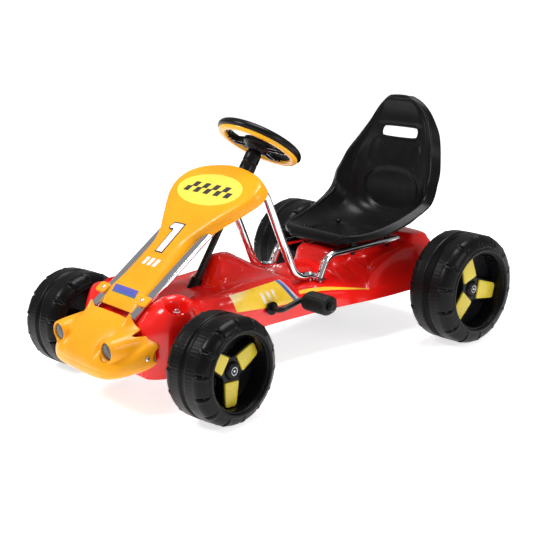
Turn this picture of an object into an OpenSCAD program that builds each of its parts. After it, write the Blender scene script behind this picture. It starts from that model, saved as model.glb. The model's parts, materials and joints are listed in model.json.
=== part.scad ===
// Child's pedal go kart: hollow moulded body, steel tube frame, linked front steering and a
// chain drive from a one-piece crank to a live rear axle.
// Frame: millimetres, +Z up, floor at Z = 0, nose towards -Y, the kart's own left is +X,
// origin in the middle of the footprint.

/* [Overall size] */
// Distance of the front axle ahead of the middle of the kart
front_axle_ahead = 311; // [309:1:313]
// Width over the rear wheels
kart_width = 635; // [625:1:645]

/* [Wheels] */
// Radius of a front wheel
front_radius = 102.4; // [101:0.1:103]
// Width of a front wheel
front_width = 109; // [104:1:110]
// Width over the front wheels
front_track_outer = 569; // [566:1:576]
// Radius of a rear wheel
rear_radius = 120; // [119:0.5:121]
// Width of a rear wheel
rear_width = 115.5; // [112:0.5:118]
// Distance from the front axle to the rear axle
wheelbase = 661; // [658:1:663]
// Diameter of the rear axle, the crank and the front stub axles
axle_d = 12; // [12:1:13]

/* [Steering] */
// Angle of the steering column above level
column_angle = 55; // [54:0.5:56]
// Radius of the steering wheel to the middle of its rim
steering_radius = 83; // [76:1:90]
// Thickness of the steering wheel rim
rim_thickness = 22; // [18:1:24]
// Reach of the drop arm from the column to its pin
drop_arm = 30; // [28:1:32]
// Reach of a knuckle arm from the kingpin to the tie rod
knuckle_arm = 50; // [48:1:54]
// Angle at which the front wheels stand at rest, to the kart's own left
rest_steer = 6.5; // [0:0.5:8]
// Distance of a kingpin from the middle of the kart
kingpin_x = 117; // [114:1:119]

/* [Drive] */
// Teeth on the crank sprocket
crank_teeth = 16; // [15:1:16]
// Teeth on the rear sprocket
rear_teeth = 12; // [12:1:13]
// Throw of a crank arm
crank_throw = 65; // [58:1:66]
// Angle of the left crank arm above level at rest
crank_rest = 10; // [0:1:20]

/* [Frame and skin] */
// Diameter of the frame tubes
tube_d = 18; // [16:1:18]
// Diameter of the seat rails
rail_d = 16; // [14:1:16]
// Wall of the moulded parts
wall = 3.5; // [3:0.5:4]

/* [Hidden] */
$fn = 48;
front_axle_y = -front_axle_ahead;
rear_axle_y = front_axle_y + wheelbase;
front_wheel_x = (front_track_outer - front_width) / 2;
rear_wheel_x = (kart_width - rear_width) / 2;
wheel_ratio = 0.6;      // turn of a front wheel for each turn of the steering wheel
run_fit = 0.1;          // added to a pin's diameter for the hole that turns on it
column_foot = [0, -180, 189];
column_dir = [0, cos(column_angle), sin(column_angle)];
wheel_up = 326;         // steering wheel centre, along the column from its foot
bracket_up = 231;       // cross bracket under the cowl
column_low = 100;       // bent lower end of the column, below its foot
column_d = 14;
crank_axis = [0, -72, 137];
chain_x = -22;
chain_pitch = 12.7;
tube_x = 65;
rail_x = 78;
arm_x = 140;
beam_z = 136;
strap_z = 68.5;
tie_z = 80;
tie_y = front_axle_y + knuckle_arm;
cup_floor = 176;
front_spoke = -97;      // direction of one spoke seen from the left, 90 is up
rear_spoke = -15;

// ---------- colours ----------
RED = "#d8201c";
YELLOW = "#fbb01f";
PALE_YELLOW = "#e8d545";
BLACK = "#1b1b1d";
SATIN = "#2a2a2d";
CHROME = "#c9ccd2";
STEEL = "#9a9ea5";
WHITE = "#e8e8e4";

// ---------- point lists ----------
function arc(c, r, a0, a1, n) = [for (i = [0:n]) let (a = a0 + (a1 - a0) * i / n) c + r * [cos(a), sin(a)]];
function flip(pts) = [for (i = [len(pts) - 1:-1:0]) [-pts[i][0], pts[i][1]]];
// One round of corner cutting on an open line, ends kept
function cut(p) = concat([p[0]], [for (i = [0:len(p) - 2], s = [0.25, 0.75])
    if (!((i == 0 && s == 0.25) || (i == len(p) - 2 && s == 0.75))) p[i] * (1 - s) + p[i + 1] * s],
    [p[len(p) - 1]]);
// Catmull-Rom sample of a list at a fractional index
function at(list, f) = let (n = len(list) - 1, i = min(floor(f), n - 1), t = f - i,
    a = list[max(i - 1, 0)], b = list[i], c = list[i + 1], d = list[min(i + 2, n)])
    b + (c - a) * t / 2 + (2 * a - 5 * b + 4 * c - d) * t * t / 2 + (3 * b - a - 3 * c + d) * t * t * t / 2;
// Value at y on a list of [y, value] pairs, straight between them
function step(tab, y) = y <= tab[0][0] ? tab[0][1] : y >= tab[len(tab) - 1][0] ? tab[len(tab) - 1][1] :
    let (i = max([for (k = [0:len(tab) - 2]) tab[k][0] <= y ? k : 0]))
    tab[i][1] + (tab[i + 1][1] - tab[i][1]) * (y - tab[i][0]) / (tab[i + 1][0] - tab[i][0]);
function unit(v) = v / norm(v);
function grid_normal(g, i, j) = let (r = len(g) - 1, c = len(g[0]) - 1)
    unit(cross(g[i][min(j + 1, c)] - g[i][max(j - 1, 0)], g[min(i + 1, r)][j] - g[max(i - 1, 0)][j]));

// Closed sheet of thickness t under a grid of points; the grid's normal points to its outer side
module sheet(g, t) {
  r = len(g);
  c = len(g[0]);
  low = [for (i = [0:r - 1]) [for (j = [0:c - 1]) g[i][j] - t * grid_normal(g, i, j)]];
  pts = concat([for (row = g, p = row) p], [for (row = low, p = row) p]);
  o = r * c;
  top = [for (i = [0:r - 2], j = [0:c - 2]) each
      [[i * c + j, (i + 1) * c + j, i * c + j + 1], [i * c + j + 1, (i + 1) * c + j, (i + 1) * c + j + 1]]];
  under = [for (f = top) [f[0] + o, f[2] + o, f[1] + o]];
  ring = concat([for (j = [0:c - 1]) j], [for (i = [1:r - 1]) i * c + c - 1],
      [for (j = [c - 2:-1:0]) (r - 1) * c + j], [for (i = [r - 2:-1:1]) i * c]);
  n = len(ring);
  side = [for (k = [0:n - 1]) let (a = ring[k], b = ring[(k + 1) % n]) each
      [[a, b, a + o], [b, b + o, a + o]]];
  polyhedron(pts, concat(top, under, side), convexity = 8);
}

// ---------- round bar along a flat line with bends, in the XY plane ----------
module bar(pts, bend, d) {
  n = len(pts);
  turn = [for (i = [0:n - 1]) i == 0 || i == n - 1 ? 0 :
      let (a = unit(pts[i] - pts[i - 1]), b = unit(pts[i + 1] - pts[i])) atan2(cross(a, b), a * b)];
  trim = [for (i = [0:n - 1]) bend * tan(abs(turn[i]) / 2)];
  for (i = [0:n - 2]) {
    a = unit(pts[i + 1] - pts[i]);
    // Each straight enters its bends by a hair, and the bends are a hair thicker
    enter = [i == 0 ? 0 : 0.4, i == n - 2 ? 0 : 0.4];
    p = pts[i] + a * (trim[i] - enter[0]);
    translate([p[0], p[1], 0]) rotate([0, 0, atan2(a[1], a[0])]) rotate([0, 90, 0])
      cylinder(d = d, h = norm(pts[i + 1] - pts[i]) - trim[i] - trim[i + 1] + enter[0] + enter[1]);
  }
  for (i = [1:n - 2]) {
    a = unit(pts[i] - pts[i - 1]);
    s = sign(turn[i]);
    c = pts[i] - a * trim[i] + bend * s * [-a[1], a[0]];
    start = atan2(-s * a[0], s * a[1]);
    translate([c[0], c[1], 0]) rotate([0, 0, s > 0 ? start : start + turn[i]])
      rotate_extrude(angle = abs(turn[i])) translate([bend, 0]) circle(d = d + 0.06);
  }
}
// Things drawn with [y, z] points in the upright plane at x
module upright(x) {
  translate([x, 0, 0]) rotate([90, 0, 90]) children();
}
// Things drawn with +Z along the steering column, from its foot
module on_column(up = 0) {
  translate(column_foot + up * column_dir) rotate([column_angle - 90, 0, 0]) children();
}
// The steering column's group as it stands at rest
module steering_turned(up = 0) {
  on_column(up) rotate([0, 0, rest_steer / wheel_ratio]) children();
}
// A front knuckle's group as it stands at rest
module knuckle_turned(s) {
  translate([s * kingpin_x, front_axle_y, 0]) rotate([0, 0, rest_steer])
    translate([-s * kingpin_x, -front_axle_y, 0])
    children();
}
module x_cylinder(x0, x1, y, z, d) {
  translate([min(x0, x1), y, z]) rotate([0, 90, 0]) cylinder(d = d, h = abs(x1 - x0));
}
module dome_screw(head, shank, len_s) {
  rotate_extrude() polygon(concat([[0, -len_s], [shank / 2, -len_s], [shank / 2, 0], [head / 2, 0]],
    arc([0, -head * 0.35], head * 0.61, 35, 90, 6)));
}

// ---------- body ----------
// Half sections from nose to tail: y, middle height, then five points outwards and down
BODY = [
  [-382, 162, [46, 162], [77, 158], [96, 150], [102, 112], [95, 67]],
  [-370, 166, [46, 166], [78, 171], [109, 162], [114, 118], [103, 64]],
  [-350, 168, [46, 168], [78, 192], [128, 186], [139, 125], [114, 62]],
  [-330, 168, [46, 168], [76, 206], [138, 201], [150, 130], [118, 62]],
  [-308, 169, [46, 170], [76, 210], [141, 205], [153, 130], [119, 62]],
  [-284, 171, [46, 172], [76, 207], [136, 200], [149, 130], [118, 63]],
  [-262, 174, [46, 176], [76, 198], [124, 188], [138, 130], [115, 66]],
  [-236, 178, [42, 181], [72, 190], [107, 181], [117, 132], [108, 73]],
  [-206, 183, [36, 187], [62, 187], [98, 183], [106, 138], [100, 84]],
  [-184, 187, [30, 189], [54, 187], [97, 185], [107, 140], [99, 92]],
  [-172, 189, [28, 189], [50, 188], [97, 186], [108, 140], [99, 95]],
  [-160, 201, [26, 199], [47, 188], [98, 188], [109, 140], [99, 97]],
  [-146, 221, [23, 217], [45, 189], [98, 189], [110, 140], [99, 97]],
  [-131, 240, [22, 235], [44, 190], [98, 190], [110, 140], [99, 97]],
  [-112, 243, [22, 236], [44, 190], [98, 191], [110, 140], [99, 97]],
  [-88, 238, [22, 230], [44, 190], [98, 191], [110, 140], [99, 97]],
  [-55, 219, [24, 211], [45, 190], [98, 190], [110, 140], [100, 97]],
  [-30, 204, [28, 198], [48, 189], [98, 188], [110, 140], [102, 97]],
  [-5, 192, [32, 189], [54, 184], [97, 182], [110, 136], [104, 97]],
  [18, 182, [34, 178], [54, 160], [98, 155], [113, 130], [107, 97]],
  [60, 178, [34, 175], [52, 157], [103, 147], [116, 125], [112, 97]],
  [110, 177, [34, 175], [54, 156], [107, 141], [119, 122], [120, 97]],
  [144, 178, [36, 176], [56, 157], [110, 136], [122, 120], [127, 97]],
  [156, 203, [54, 202], [61, 160], [111, 134], [122, 120], [129, 97]],
  [200, 205, [57, 204], [64, 166], [111, 132], [126, 118], [138, 97]],
  [245, 205, [57, 204], [65, 172], [109, 160], [128, 124], [144, 97]],
  [285, 206, [57, 205], [65, 176], [106, 178], [130, 132], [147, 97]],
  [345, 207, [57, 206], [66, 180], [107, 188], [132, 142], [150, 97]],
  [366, 210, [74, 209], [94, 208], [109, 204], [132, 146], [150, 97]],
  [412, 208, [72, 207], [94, 205], [106, 201], [128, 145], [146, 97]],
  [430, 196, [68, 194], [88, 190], [99, 184], [122, 138], [138, 98]]
];
function body_half(k) = let (b = BODY[k]) cut(cut([[0, b[1]], b[2], b[3], b[4], b[5], b[6]]));
function body_section(k) = let (h = body_half(k), m = len(h) - 1)
    concat([for (j = [m:-1:1]) [-h[j][0], h[j][1]]], h);
// The same section, drawn in by the wall and run out below
function inner_section(p) = let (m = len(p) - 1)
  [for (j = [0:m]) let (d = unit(p[min(j + 1, m)] - p[max(j - 1, 0)]))
    p[j] + wall * [d[1], -d[0]] - (j == 0 || j == m ? [0, 8] : [0, 0])];
// Solid through closed rows of points from -Y to +Y
module loft(rows) {
  r = len(rows);
  c = len(rows[0]);
  polyhedron([for (row = rows, p = row) p], concat(
    [for (i = [0:r - 2], j = [0:c - 1]) each [[i * c + j, (i + 1) * c + j, i * c + (j + 1) % c],
      [i * c + (j + 1) % c, (i + 1) * c + j, (i + 1) * c + (j + 1) % c]]],
    [[for (j = [0:c - 1]) j], [for (j = [c - 1:-1:0]) (r - 1) * c + j]]), convexity = 8);
}
module body_outside() {
  loft([for (k = [0:len(BODY) - 1]) [for (p = body_section(k)) [p[0], BODY[k][0], p[1]]]]);
}
module body_inside() {
  m = len(BODY) - 1;
  loft([for (k = [0:m]) let (y = BODY[k][0] + (k == 0 ? wall : k == m ? -wall : 0))
    [for (p = inner_section(body_section(k))) [p[0], y, p[1]]]]);
}

module body_shell() {
  color(RED) difference() {
    body_outside();
    // Inside, less the scoops that hold the kingpin heads
    difference() {
      body_inside();
      for (s = [-1, 1]) translate([s * kingpin_x, front_axle_y, cup_floor - 4]) cylinder(r = 25, h = 60);
    }
    for (s = [-1, 1]) {
      translate([s * kingpin_x, front_axle_y, cup_floor]) cylinder(r = 21.5, h = 60);
      translate([s * kingpin_x, front_axle_y, 160]) cylinder(d = 10.4, h = 40);
      // Openings in the flanks for the knuckles and the tie rod
      translate([s * 140 - 45, front_axle_y - 32, 40]) cube([90, 105, 92]);
      // Frame tube and seat rail screws
      translate([s * tube_x, frame_screw_y, 120]) cylinder(d = 6.4, h = 60);
      translate([s * rail_x, 98, 120]) cylinder(d = 6.4, h = 50);
    }
    on_column(-45) cylinder(d = 24.4, h = 80);
    x_cylinder(-180, 180, crank_axis[1], crank_axis[2], 22.4);
    x_cylinder(-180, 180, rear_axle_y, rear_radius, 22.4);
  }
}

module underbody_pan() {
  rows = [for (b = BODY) if (b[0] > -135 && b[0] < 425) [b[6][0] - wall - 4.8, b[0]]];
  side = concat(rows, [[rows[len(rows) - 1][0] - 5, 422]]);
  color(BLACK) difference() {
    union() {
      translate([0, 0, 97]) linear_extrude(2.5) polygon(concat(side, flip(side)));
      translate([chain_x - 13, -126, 83]) cube([26, 530, 16]);
    }
    translate([chain_x - 10.5, -123.5, 85.5]) cube([21, 525, 20]);
  }
}

// ---------- nose ----------
// Half outline at each distance from the middle: x, bottom rear y and z, front y, top rear y and z
NOSE = [
  [0, -404, 74, -470, -386, 181],
  [30, -404, 74, -470, -386, 181],
  [58, -403, 75, -469, -385, 178],
  [82, -400, 78, -465, -381, 168],
  [102, -394, 84, -452, -376, 155],
  [117, -385, 92, -426, -371, 146],
  [126, -376, 100, -398, -367, 140],
  [130, -372, 106, -382, -367, 134]
];
function nose_line(n) = let (x = n[0], yb = n[1], zb = n[2], yf = n[3], yt = n[4], zt = n[5], h = zt - zb)
    [for (p = cut(cut([[yb, zb], [yf + 10, zb + 1], [yf, zb + h * 0.20],
        [yf + (yt - yf) * 0.14, zb + h * 0.52], [yf + (yt - yf) * 0.62, zb + h * 0.90], [yt, zt]])))
      [x, p[0], p[1]]];
NOSE_HALF = [for (n = NOSE) nose_line(n)];
NOSE_FAR = [for (i = [len(NOSE_HALF) - 1:-1:1]) [for (p = NOSE_HALF[i]) [-p[0], p[1], p[2]]]];
NOSE_GRID = concat(NOSE_FAR, NOSE_HALF);
lens_place = [83, -449, 136];

module nose_bumper() {
  color(YELLOW) difference() {
    union() {
      sheet(NOSE_GRID, wall);
      for (s = [-1, 1]) {
        // Raised eye round each lens
        translate([s * lens_place[0], lens_place[1] + 14, lens_place[2]]) rotate([90, 0, 0])
          cylinder(r1 = 25, r2 = 20.5, h = 16);
        // Fin at the rear top corner
        translate([s * 66, -386, 174]) rotate([90, 0, 90]) linear_extrude(9, center = true)
          polygon([[-38, -8], [-10, 9], [-1, 11], [0, 2], [0, -4]]);
      }
    }
    for (s = [-1, 1]) {
      translate([s * lens_place[0], lens_place[1] + 2, lens_place[2]]) rotate([90, 0, 0])
        cylinder(r = 17, h = 20);
      translate([s * lens_place[0], lens_place[1] + 19, lens_place[2]]) rotate([90, 0, 0])
        cylinder(r = 14, h = 24);
      translate([s * 112, -392, 118]) rotate([0, s * 90, 0]) cylinder(d = 5.4, h = 24);
    }
  }
}
module headlight_lenses() {
  color("#8d97a3") for (s = [-1, 1]) translate([s * lens_place[0], lens_place[1] + 1.8, lens_place[2]])
    rotate([90, 0, 0]) rotate_extrude() polygon(concat([[0, -3], [13.4, -3], [13.4, 0], [16.7, 0]],
      arc([0, -43.4], 46.5, 69, 90, 5)));
}
module nose_screws() {
  color(STEEL) for (s = [-1, 1])
    translate([s * 130.5, -392, 118]) rotate([0, s * 90, 0]) dome_screw(9, 5, 14);
}

// ---------- cowl ----------
// Along the middle from the foot to the head: y, z, half width of the top, half width of the edge, depth
COWL = [
  [-371, 186, 50, 56, 12], [-358, 201, 54, 58, 13], [-344, 214, 54, 58, 14], [-330, 224, 51, 58, 14],
  [-314, 235, 47, 58, 14], [-292, 250, 44, 57, 14], [-262, 275, 38, 55, 14], [-244, 289.5, 38, 56, 15],
  [-230, 301, 46, 58, 17], [-217, 311.5, 57, 62, 22], [-206, 321, 68, 72, 25], [-192, 333, 80, 83, 26],
  [-178, 344.5, 92, 96, 26], [-164, 355, 104, 109, 26], [-146, 368, 117, 123, 26], [-122, 384.5, 125, 132, 28],
  [-98, 399, 118, 127, 27], [-82, 408, 98, 106, 25], [-74, 412.5, 72, 80, 22], [-69, 415.5, 42, 50, 18],
  [-67, 417, 16, 22, 16]
];
function cowl_row(k) = let (c = COWL[k], a = COWL[max(k - 1, 0)], b = COWL[min(k + 1, len(COWL) - 1)],
    d = unit([0, b[0] - a[0], b[1] - a[1]]), n = [0, -d[2], d[1]], p = [0, c[0], c[1]],
    w = c[2], v = c[3], h = c[4],
    half = [for (q = cut(cut([[0, 0], [w * 0.6, -0.4], [w * 0.98, -1.4], [w * 0.4 + v * 0.6 + 1, -h * 0.5], [v, -h]])))
        [q[0], p + n * q[1]]])
    concat([for (j = [len(half) - 1:-1:1]) [-half[j][0], half[j][1][1], half[j][1][2]]],
        [for (h2 = half) [h2[0], h2[1][1], h2[1][2]]]);
COWL_ROWS = [for (k = [0:len(COWL) - 1]) cowl_row(k)];

module dash_cowl() {
  color(YELLOW) difference() {
    union() {
      sheet(COWL_ROWS, wall);
      // Ears that rest on the frame tubes
      for (s = [-1, 1]) translate([s * 62, -346, 198.6]) rotate([34, 0, 0])
        translate([-16, -12, tube_d / 2 - 0.8])
        cube([32, 24, 4.4]);
    }
    // Room for the frame tubes under the head and along the neck
    for (s = [-1, 1]) upright(s * tube_x) bar(FRAME_LINE, 40, tube_d + 0.6);
    for (s = [-1, 1]) translate([s * 66, -346, 198.6]) rotate([34, 0, 0]) cylinder(d = 5.4, h = 40);
  }
}

// ---------- chrome frame ----------
FRAME_LINE = [[-378, 177], [-52, 397], [39, 167], [92, 165]];
frame_screw_y = 81;
RAIL_LINE = [[97, 158], [122, 203], [344, 199]];

module frame_tube(s) {
  color(CHROME) difference() {
    upright(s * tube_x) bar(FRAME_LINE, 40, tube_d);
    // Flattened foot and the screw holes
    translate([s * tube_x - 12, 69, 170]) cube([24, 40, 12]);
    translate([s * tube_x, frame_screw_y, 150]) cylinder(d = 6.2, h = 40);
    translate([s * 66, -346, 198.6]) rotate([34, 0, 0]) translate([0, 0, -3]) cylinder(d = 5.4, h = 30);
  }
}
module seat_rail(s) {
  color(CHROME) difference() {
    union() {
      upright(s * rail_x) bar(RAIL_LINE, 38, rail_d);
      translate([s * rail_x - 7.5, 86, 153.5]) cube([15, 24, 3.5]);
    }
    translate([s * rail_x, 98, 140]) cylinder(d = 6.2, h = 60);
    for (y = [200, 310]) translate([s * rail_x, y, 180]) cylinder(d = 6.2, h = 40);
  }
}
module frame_screws() {
  color(STEEL) for (s = [-1, 1]) {
    translate([s * tube_x, frame_screw_y, 170.2]) dome_screw(12, 6, 30);
    translate([s * rail_x, 98, 157.2]) dome_screw(11, 6, 26);
    translate([s * 66, -346, 198.6]) rotate([34, 0, 0])
      translate([0, 0, tube_d / 2 + 3.8]) dome_screw(10, 5, 14);
  }
}

// ---------- seat ----------
// Middle line of the sitting surface from the front lip to the top:
// y, z, half width, side height, side lean
SEAT = [
  [150, 224, 70, 0, 0], [156, 236, 84, 0, 0], [172, 238, 100, 2, 0], [190, 228, 110, 12, 0],
  [230, 218, 120, 26, 0], [285, 214, 128, 42, 0], [340, 215, 133, 58, -4], [378, 222, 136, 62, -20],
  [400, 240, 137, 56, -32], [409, 270, 138, 40, -36], [412, 310, 138, 18, -34], [418, 345, 134, 5, -28],
  [427, 378, 124, 0, -24], [437, 408, 108, 0, -16], [446, 440, 90, 0, -10], [450, 468, 76, 0, -6],
  [448, 490, 58, 0, -3], [443, 503, 34, 0, -1], [440, 507.9, 10, 0, 0]
];
seat_cols = 16;
function seat_row(f) = let (q = at(SEAT, f)) [for (j = [0:seat_cols]) let (u = 2 * j / seat_cols - 1,
    x = q[2] * (1.12 * u - 0.12 * pow(u, 3)), e = pow(abs(u), 3.2))
  [x, q[0] + q[4] * e, min(q[1] + q[3] * e, 507.9)]];
SEAT_GRID = [for (i = [0:2 * (len(SEAT) - 1)]) seat_row(i / 2)];

module seat_shell() {
  color(BLACK) difference() {
    sheet(SEAT_GRID, 5);
    // Hand slot below the head pad
    translate([0, 480, 424]) rotate([90, 0, 0]) linear_extrude(90)
      polygon(concat(arc([44, 0], 15, -90, 90, 10), arc([-44, 0], 15, 90, 270, 10)));
    for (s = [-1, 1], y = [200, 310]) translate([s * rail_x, y, 190]) cylinder(d = 6.4, h = 60);
  }
}
// Height of the sitting surface over a point of the pan
function seat_top(x, y) = let (pan = [for (q = SEAT) if (q[0] >= 172 && q[0] <= 340 && q[1] < 300) q],
    w = step([for (q = pan) [q[0], q[2]]], y), h = step([for (q = pan) [q[0], q[3]]], y))
    step([for (q = pan) [q[0], q[1]]], y) + h * pow(x / w / 1.07, 3.2);
rail_z = 203;
rail_slope = (RAIL_LINE[2][1] - RAIL_LINE[1][1]) / (RAIL_LINE[2][0] - RAIL_LINE[1][0]);
function rail_top(y) = rail_z + (y - 122) * rail_slope + rail_d / 2;

module seat_bolts() {
  color(STEEL) for (s = [-1, 1], y = [200, 310]) translate([s * rail_x, y, 0]) {
    translate([0, 0, seat_top(rail_x, y) + 1])
      dome_screw(13, 6, seat_top(rail_x, y) - rail_top(y) + rail_d + 6);
    translate([0, 0, rail_top(y) - rail_d - 4.2]) difference() {
      cylinder(d = 11, h = 4, $fn = 6);
      translate([0, 0, -1]) cylinder(d = 6, h = 6, $fn = 32);
    }
  }
}
module seat_spacers() {
  color(BLACK) for (s = [-1, 1], y = [200, 310])
    translate([s * rail_x, y, rail_top(y) + 0.2]) difference() {
    cylinder(d = 16, h = seat_top(rail_x, y) - rail_top(y) - 9);
    translate([0, 0, -1]) cylinder(d = 6.4, h = 40);
  }
}

// ---------- steering ----------
module column_bracket() {
  color(STEEL) difference() {
    on_column(bracket_up) union() {
      translate([-tube_x + tube_d / 2 + 0.2, -11, -5]) cube([2 * tube_x - tube_d - 0.4, 22, 10]);
      translate([0, 0, -9]) cylinder(d = 30, h = 18);
    }
    on_column(bracket_up - 20) cylinder(d = 20, h = 40);
  }
}
module column_upper_bush() {
  color(WHITE) on_column(bracket_up - 9) difference() {
    union() {
      cylinder(d = 20, h = 18);
      translate([0, 0, 18]) cylinder(d = 25, h = 2.5);
    }
    translate([0, 0, -1]) cylinder(d = column_d + run_fit, h = 30);
  }
}
module column_collar() {
  color(BLACK) on_column(-14) difference() {
    cylinder(d = 24, h = 26);
    translate([0, 0, -1]) cylinder(d = column_d + run_fit, h = 40);
  }
}
module steering_column() {
  color(BLACK) steering_turned() rotate([90, 0, 90])
    bar([[0, wheel_up - 4], [0, -column_low], [drop_arm, -column_low],
      [drop_arm, -column_low - 28]], 12, column_d);
}
module front_beam() {
  color(STEEL) difference() {
    translate([-135, front_axle_y - 12, beam_z]) cube([270, 24, 22]);
    translate([-140, front_axle_y - 10, beam_z + 2]) cube([280, 20, 18]);
    for (s = [-1, 1]) translate([s * kingpin_x, front_axle_y, beam_z - 5]) cylinder(d = 10.2, h = 40);
  }
}
module kingpin_strap() {
  color(STEEL) difference() {
    translate([-135, front_axle_y - 12, strap_z]) cube([270, 24, 4]);
    for (s = [-1, 1]) translate([s * kingpin_x, front_axle_y, strap_z - 5]) cylinder(d = 10.2, h = 20);
  }
}
module kingpins() {
  color(CHROME) for (s = [-1, 1]) translate([s * kingpin_x, front_axle_y, 0]) rotate_extrude()
    polygon([[0, 60], [8, 60], [8, strap_z - 0.1], [5, strap_z - 0.1], [5, cup_floor + 0.1],
      [9, cup_floor + 0.1], [9, cup_floor + 5], [7, cup_floor + 7], [0, cup_floor + 7]]);
}
module knuckle(s) {
  color(STEEL) knuckle_turned(s) difference() {
    union() {
      translate([s * kingpin_x, front_axle_y, strap_z + 5]) cylinder(d = 24, h = beam_z - strap_z - 6);
      x_cylinder(s * kingpin_x, s * (front_wheel_x - 38.5), front_axle_y, front_radius, 18);
      x_cylinder(s * kingpin_x, s * (front_wheel_x + 29.5), front_axle_y, front_radius, axle_d);
      // Arm to the tie rod with its pin
      translate([s * kingpin_x - 8, front_axle_y, 86]) cube([16, knuckle_arm, 6]);
      translate([s * kingpin_x, tie_y, 86]) cylinder(d = 16, h = 6);
      translate([s * kingpin_x, tie_y, tie_z - 3]) cylinder(d = 8, h = 10);
    }
    translate([s * kingpin_x, front_axle_y, 50]) cylinder(d = 10 + run_fit, h = 100);
  }
}
module front_nut(s) {
  color(CHROME) knuckle_turned(s) difference() {
    x_cylinder(s * (front_wheel_x + 21.5), s * (front_wheel_x + 29), front_axle_y, front_radius, 19);
    x_cylinder(s * (front_wheel_x + 15), s * (front_wheel_x + 35), front_axle_y, front_radius, axle_d);
  }
}
module tie_rod() {
  color(STEEL) translate(knuckle_arm * [-sin(rest_steer), cos(rest_steer) - 1, 0]) difference() {
    union() {
      translate([-kingpin_x, tie_y - 8, tie_z]) cube([2 * kingpin_x, 16, 5]);
      for (s = [-1, 1]) translate([s * kingpin_x, tie_y, tie_z]) cylinder(d = 16, h = 5);
      translate([-15, tie_y, tie_z]) cube([30, 64, 5]);
    }
    translate([kingpin_x, tie_y, tie_z - 1]) cylinder(d = 8 + run_fit, h = 10);
    translate([-kingpin_x, tie_y, tie_z - 1]) cylinder(d = 8.7, h = 10);
    translate([-7.9, tie_y + 28, tie_z - 1]) cube([15.8, 31, 10]);
  }
}
module column_sleeve() {
  color(BLACK) steering_turned(bracket_up + 13) difference() {
    cylinder(d = 34, h = wheel_up - bracket_up - 13 - 24);
    translate([0, 0, -1]) cylinder(d = column_d, h = 120);
  }
}
module steering_hub() {
  color(SATIN) steering_turned(wheel_up) difference() {
    union() {
      translate([0, 0, -24]) cylinder(d1 = 40, d2 = 66, h = 16);
      translate([0, 0, -8]) cylinder(d = 66, h = 9);
      intersection() {
        for (a = [0, 90, 180]) rotate([0, 0, a]) translate([0, -13, -9]) cube([steering_radius, 26, 8]);
        translate([0, 0, -12]) cylinder(r = steering_radius - rim_thickness / 2 - 0.03, h = 12, $fn = 96);
      }
    }
    translate([0, 0, -40]) cylinder(d = column_d, h = 36.2);
  }
}
module steering_rim() {
  color(SATIN) steering_turned(wheel_up) rotate_extrude($fn = 96)
    translate([steering_radius, 0]) polygon(concat([[-rim_thickness / 2, -6]],
      arc([0, 0], rim_thickness / 2, 180, -20, 12), [[6, -6]]));
}
module steering_ring() {
  color(YELLOW) steering_turned(wheel_up) rotate_extrude($fn = 96) translate([steering_radius, 0])
    polygon([[-10.5, -6.2], [6, -6.2], [5, -10], [1, -12.5], [-6, -12.5], [-9.5, -10.5]]);
}
module steering_cap() {
  color(BLACK) steering_turned(wheel_up + 1.1) rotate_extrude()
    polygon(concat([[0, 0], [22, 0], [22, 2]],
    arc([0, -38.5], 46, 62, 90, 5)));
}

// ---------- wheels ----------
// Half profile of a tyre: width w, radius r, opening o, shoulder c, middle groove g wide and d deep
function tyre_half(w, r, o, c, g, d, t) = concat(
    [[0, r - d], [g / 2, r - d], [g / 2 + 2, r]], arc([w / 2 - c, r - c], c, 90, 0, 8),
    [[w / 2, o + 4], [w / 2 - 3, o], [w / 2 - 15, o], [w / 2 - 15, o + t], [w / 2 - t, o + t]],
    arc([w / 2 - c, r - c], c - t, 0, 90, 8), [[g / 2 + 3, r - t], [g / 2 + 3, r - d - t], [0, r - d - t]]);
module wheel_turned(s, x, y, r) {
  translate([s * x, y, r]) rotate([0, s * 90, 0]) children();
}
// Drawn with the outer face towards +Z
module tyre(w, r, o, c, g, d) {
  h = [for (p = tyre_half(w, r, o, c, g, d, 4)) [p[1], p[0]]];
  rotate_extrude($fn = 96) polygon(concat(h, [for (i = [len(h) - 1:-1:0]) [h[i][0], -h[i][1]]]));
}
// Barrel, web and hub in one turned piece, with three raised spokes
module wheel_rim(w, o, face, hub_in) {
  bore = (axle_d + run_fit) / 2;
  difference() {
    union() {
      rotate_extrude($fn = 96) polygon([[bore, hub_in], [15, hub_in], [15, face - 20], [o - 3.4, face - 20],
        [o - 3.4, -w / 2 + 4], [o, -w / 2 + 4], [o, w / 2 - 4], [o - 3.4, w / 2 - 4], [o - 3.4, face - 17],
        [22, face - 17], [22, face - 6], [bore, face - 6]]);
      for (a = [0, 120, 240]) rotate([0, 0, a]) intersection() {
        translate([19, -21, face - 18]) cube([o, 42, 16]);
        translate([0, 0, face - 20]) cylinder(r = o - 1.7, h = 20, $fn = 96);
      }
    }
    // Seat of the cap and of the nut
    translate([0, 0, face - 6]) cylinder(d = 40, h = 20);
  }
}
module wheel_inserts(o, face, len_i, w0, w1) {
  for (a = [0, 120, 240]) rotate([0, 0, a]) translate([21, 0, face - 2]) linear_extrude(2.5)
    polygon([[0, -w0 / 2], [len_i - 5, -w1 / 2], [len_i, -w1 / 2 + 5], [len_i, w1 / 2 - 5],
      [len_i - 5, w1 / 2], [0, w0 / 2]]);
}
module wheel_cap(face) {
  translate([0, 0, face - 5.9]) rotate_extrude()
    polygon([[0, 11.5], [11, 11.5], [15.8, 9], [17.8, 5], [17.8, 0],
    [15.4, 0], [15.4, 4.4], [11, 8.9], [0, 8.9]]);
}
front_face = 27;
rear_face = 30.5;
module front_tyre(s) {
  color(BLACK) knuckle_turned(s) wheel_turned(s, front_wheel_x, front_axle_y, front_radius)
    tyre(front_width, front_radius, 74.2, 24, 11, 4);
}
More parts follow.
